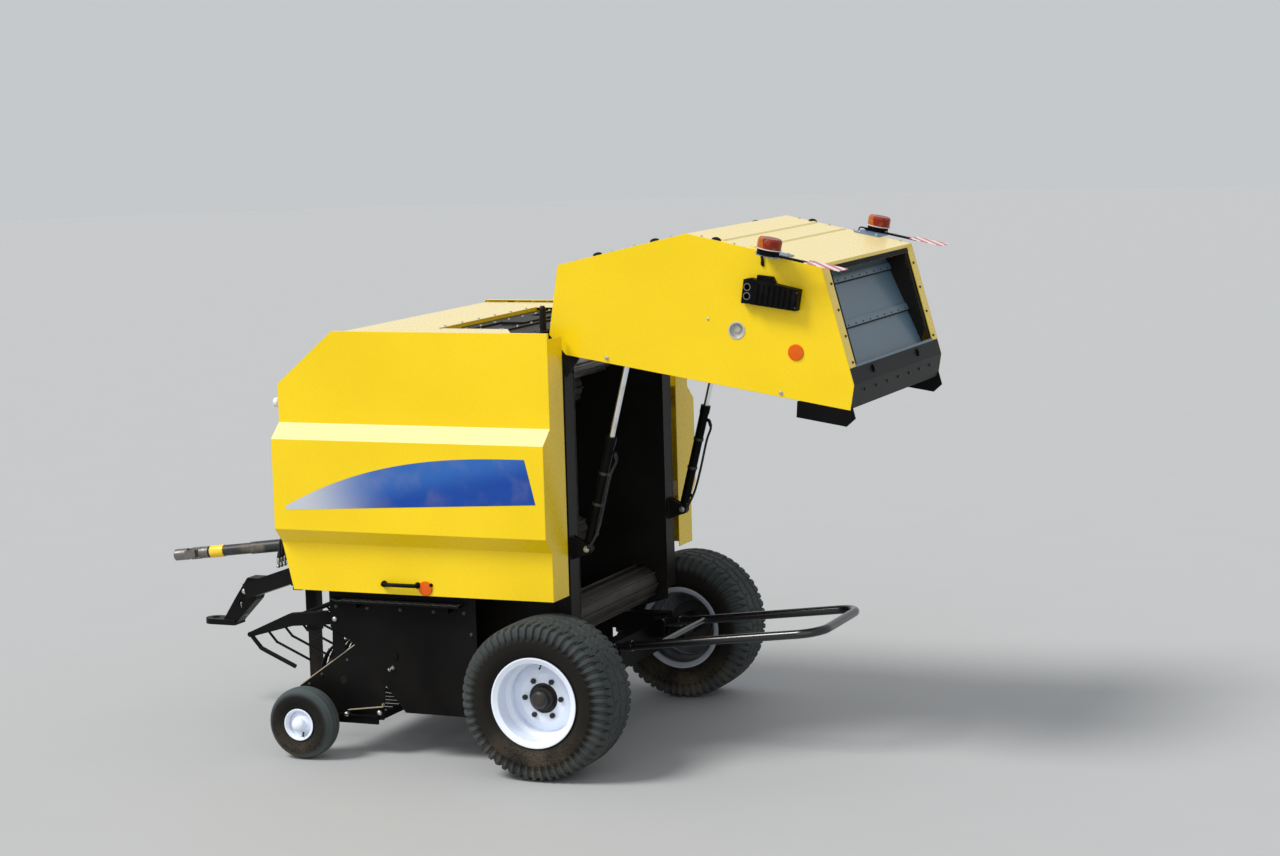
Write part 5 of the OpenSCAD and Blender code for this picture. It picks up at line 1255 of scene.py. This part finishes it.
@dataclass
class FrameFittings:
    """Small parts on the hood, deck, steps, skirts, frame, drawbar and cylinders."""

    hood_z: float = 2306.0
    deck_z: float = 2284.0
    cylinder_foot: tuple[float, float] = (110.0, 1150.0)
    cylinder_run: tuple[float, float] = (303.0, 1170.0)
    skirt_y: float = 910.0
    step_z: float = 863.0

    def build(self) -> None:
        """Makes the fittings group by group."""
        for group in (self.hood, self.steps, self.skirts, self.hoses, self.cylinders, self.drawbar, self.safety_chain):
            group()

    def hood(self) -> None:
        """Screws along the hood's edges and bolts along the deck's ribs."""
        screw, z = bolt(11, 4), self.hood_z
        sides = together([screw.at(spread(low, high, count), y, z, UP) for low, high, count, y in
                          ((-1190, -800, 5, 900), (-730, -370, 4, 650), (-700, -260, 4, 905))])
        across = screw.at(-765, spread(-520, 520, 6), z, UP)
        (sides.pair() + across).build("hood_screws", ZINC, "root", "worn_steel")
        ribs = np.repeat([-628.0, -408.0, -188.0], 7)
        rows = bolt(12, 5).at(ribs, np.tile(spread(-540, 540, 7), 3), self.deck_z + 10, UP)
        rows.build("deck_bolts", ZINC, "root", "worn_steel")

    def steps(self) -> None:
        """Raised lozenges of the step plates' tread, in rows that lean by turns."""
        lozenge = plate(arc(turns(12), 13, 3.6), -0.3, 1.8)
        x, y = np.meshgrid(spread(-1225, -535, 27), spread(self.skirt_y + 18, self.skirt_y + 64, 3))
        lean = np.where(np.arange(x.size) % 2, 0.7, -0.7)
        frames = flat_frames(places(np.cos(lean), np.sin(lean), 0), places(0 * lean, 0, 1))
        tread = lozenge.framed(places(x.ravel(), y.ravel(), self.step_z), frames)
        tread.pair().build("step_tread", WORN_STEP, "root", "dark_steel", sharp=60)

    def skirts(self) -> None:
        """Bolts along the skirts and the wing nut of the pickup's height stop."""
        y = self.skirt_y
        heads = bolt(15, 6).at([-1290, -1100, -900, -700, -520, -480, -480, -480], y,
                               [815, 815, 815, 815, 815, 700, 560, 420], OUT)
        heads.pair().build("skirt_bolts", BLACK_BOLT, "root", "dark_steel")
        nut = revolve([(9, 0), (9, 6), (6, 10), (4, 22)], 14)
        wing = revolve([(4, -2.5), (11, -2.5), (11, 2.5), (4, 2.5)], 14, ring=True).turned(90, Axis.X)
        nut += wing.moved(0, 14, 12) + wing.moved(0, -14, 12)
        nut.turned(60, Axis.Z).at(-961, y, 492, OUT).pair().build("wing_nuts", ZINC, "root", "worn_steel")

    def hoses(self) -> None:
        """Hydraulic hoses and the cable that run from the frame to the stand on the drawbar."""
        runs = ((-96, 24), (-60, 12), (-20, 30), (24, 14), (66, 26))
        lines = [hose([(-1335, y * 1.4, 1060), (-1420, y * 1.5, 1215 + rise), (-1620, y * 1.2, 1190 + rise),
                       (-1850, y, 1120 + rise), (-1985, y, 1100), (-2080, y, 1020), (-2105, y, 905)], 8.5)
                 for y, rise in runs]
        together(lines).build("parked_hoses", HOSE, "root", "tyre_rubber")
        tip = revolve([(9, 0), (12, 3), (12, 26), (8, 30), (8, 44), (11, 46), (11, 58), (6, 60)], 16)
        tips = tip.at(-2105, [y for y, _ in runs], 908, (-0.1, 0, -1))
        tips.build("hose_couplers", ZINC, "root", "worn_steel")

    def cylinders(self) -> None:
        """Pin heads at both ends of the cylinders, and the hose clipped along each barrel."""
        x, z = self.cylinder_foot
        heads = [bolt(24, 10).at(x, CYLINDER_Y + 24 * out, z, (0, out, 0)) for out in (1, -1)]
        together(heads).pair().build("cylinder_pins", ZINC, "root", "worn_steel")
        line = hose([(38, 0, 540), (56, 4, 500), (44, 16, 420), (44, 18, 250), (40, 14, 120), (20, 20, 34),
                     (0, 22, 0)], 7.0)
        clip = revolve([(25.6, -8), (29, -8), (29, 8), (25.6, 8)], 28, ring=True)
        clips = clip.moved(0, 0, 250) + clip.moved(0, 0, 420)
        lean = math.degrees(math.atan2(*self.cylinder_run))
        for shape, name, finish, slot in ((line, "hose", HOSE, "tyre_rubber"),
                                          (clips, "clips", BLACK_BOLT, "worn_steel")):
            made = shape.turned(lean, Axis.Y).moved(x, CYLINDER_Y, z)
            made.build_sides(f"cylinder_{name}", finish, "barrel", slot)

    def drawbar(self) -> None:
        """Bolts of the tongue and of the frame's arms."""
        heads = bolt(24, 11).at([-2290, -2370], 50, [712, 690], OUT).pair()
        heads += bolt(19, 8).at(-1330, [-430, -250, 250, 430], 1045, (-1, 0, 0))
        heads += bolt(14, 6).at([-2102, -2058], 214, 725, (0, -1, 0))
        heads.build("drawbar_bolts", ZINC, "root", "worn_steel")

    def safety_chain(self) -> None:
        """Nine links that hang from the tongue along z = 545 + 62 u^2, every other one turned a quarter."""
        x, z = circle(1.0, 16).T
        stretch = np.where(np.abs(x) > 0.1, np.sign(x) * 8, 0)
        link = sweep(np.stack([10 * x + stretch, 0 * x, 8 * z], -1), circle(3.2, 8), closed=True)
        u, odd = spread(-1, 1, 9), np.arange(9) % 2
        slope = np.arctan2(124 * u, 44.0)
        c, s = np.cos(slope), np.sin(slope)
        frames = flat_frames(places(0, c, s), places(odd, (odd - 1) * s, (1 - odd) * c))
        link.framed(places(-2395, 44 * u, 545 + 62 * u**2), frames).build("safety_chain", ZINC, "root", "worn_steel")


@dataclass
class PickupFittings:
    """Springs of the tines, bolts of the pickup, gauge wheels and kicker, and the windguard's outer fingers."""

    reel: tuple[float, float] = (-1270.0, 410.0)
    bar_r: float = 120.0
    tine_pitch: float = 76.0
    tines: int = 20
    side_y: float = 900.0

    def build(self) -> None:
        """Makes the springs, the bolts and the edges of the side sheets."""
        y = (np.arange(self.tines) - (self.tines - 1) / 2) * self.tine_pitch
        rounds = [(r, h + 5.5 * k) for k in range(4) for r, h in ((19.5, -10), (19.5, -7.5), (17.5, -5.2))]
        coil = revolve([(13.5, -11), *rounds, (13.5, 11)], 12)
        bars = arc(np.radians(np.arange(4) * 90 + 25), self.bar_r, -self.bar_r) + self.reel
        spots = np.vstack([places(x, np.concatenate([y - 15, y + 15]), z) for x, z in bars])
        coil.at(*spots.T, OUT).build("tine_springs", SPRING_STEEL, "reel", "dark_steel", sharp=20)
        dome = revolve([(14.5, 12.5), (14.5, 15.5), (11, 20.5), (5, 23.5), (1.5, 24.1)], 20)
        dome += revolve([(12, -1), (12, 13)], 16)
        domes = dome.at([-1251, -1049, -1300], self.side_y, [222, 242, 745], OUT)
        domes.pair().build("gauge_arm_bolts", ZINC, "pickup", "worn_steel")
        rim = bolt(13, 5).at([-1480, -1400, -1240, -1120], self.side_y, [372, 430, 520, 560], OUT)
        rim.pair().build("pickup_side_bolts", BLACK_BOLT, "pickup", "dark_steel")
        bolt(22, 9).at(100, 392, 552, OUT).pair().build("kicker_pins", ZINC, "root", "worn_steel")
        lip = sweep([(-1540, 896.5, 361), (-1365, 896.5, 484), (-1190, 896.5, 607)], circle(4.0, 10))
        strip = slab([(-1239, 246), (-1022, 275), (-1024, 294), (-1028, 294), (-1027, 278), (-1239, 249)], 899, 922)
        (lip + strip).pair().build("pickup_edges", EDGE_STEEL, "pickup", "worn_steel")
        fingers = sweep(smooth_path([(-1857, 860, 619), (-1803, 860, 557), (-1780, 860, 541), (-1585, 860, 456)], 6),
                        circle(12.0, 14))
        fingers.pair().build("outer_fingers", BLACK, "windguard", "black_paint")


@dataclass
class Studio:
    """Floor, world, lamps and the camera at the photograph's view."""

    eye: tuple[float, float, float] = (6194.0, -14391.0, 3725.0)
    yaw: float = 22.81
    pitch: float = 7.37
    roll: float = -1.6
    focal_px: float = 2875.3
    frame_px: float = 1280.0
    sensor: float = 36.0

    def camera(self) -> None:
        """Sets the camera by its eye, yaw, pitch and roll."""
        a, e, c = (math.radians(v) for v in (self.yaw, self.pitch, self.roll))
        ahead = np.array([-math.sin(a) * math.cos(e), math.cos(a) * math.cos(e), -math.sin(e)])
        right = np.array([math.cos(a), math.sin(a), 0.0])
        up = np.cross(right, ahead)
        right, up = math.cos(c) * right + math.sin(c) * up, -math.sin(c) * right + math.cos(c) * up
        lens = bpy.data.cameras.new("camera")
        lens.sensor_width, lens.clip_end = self.sensor, 200
        lens.lens = self.focal_px / self.frame_px * self.sensor
        bpy.context.scene.camera = add_object("camera", lens, np.stack([right, up, -ahead], 1), shared(self.eye))

    def floor(self) -> None:
        """A wide round floor just under the wheels."""
        mesh = bpy.data.meshes.new("floor")
        mesh.from_pydata([(x, y, 0.0) for x, y in circle(60.0, 64).tolist()], [], [list(range(64))])
        mesh.materials.append(FLOOR.material())
        add_object("floor", mesh)

    def world(self) -> None:
        """Even pale surroundings."""
        world = bpy.data.worlds.new("studio")
        world.use_nodes = True
        sky = world.node_tree.nodes["Background"]
        sky.inputs["Color"].default_value = (0.94, 0.97, 1.0, 1.0)
        sky.inputs["Strength"].default_value = 0.6
        bpy.context.scene.world = world

    def sun(self, name: str, place: tuple, spread_deg: float, strength: float, colour: Colour) -> None:
        """A wide soft light that shines from the direction of place."""
        light = bpy.data.lights.new(name, "SUN")
        light.angle, light.energy, light.color = math.radians(spread_deg), strength, colour
        add_object(name, light, upright_frames(np.array([place], float))[0], place)

    def build(self) -> None:
        """Makes the studio and sets the colour handling."""
        self.camera()
        self.floor()
        self.world()
        self.sun("key", (-4.5, -4.6, 8.2), 22.0, 2.8, (1.0, 0.985, 0.95))
        self.sun("fill", (3.0, -10.0, 3.5), 60.0, 0.55, (0.97, 0.98, 1.0))
        bpy.context.scene.view_settings.view_transform = "Standard"


def dress_nodes() -> None:
    """Gives every CAD node its finish."""
    for name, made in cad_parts.items():
        material = NODE_FINISH[name].material()
        if not made.data.materials:
            made.data.materials.append(material)
        for slot in made.material_slots:
            slot.material = material


def main() -> None:
    """Builds the studio, dresses the CAD nodes and adds the fittings in order."""
    logging.basicConfig(level=logging.INFO, format="%(message)s")
    Studio().build()
    dress_nodes()
    for part in (Wheels(), ShieldFittings(), TailgateFittings(), DriveFittings(), FrameFittings(), PickupFittings()):
        LOG.info("building %s", type(part).__name__)
        part.build()


if __name__ == "__main__":
    main()
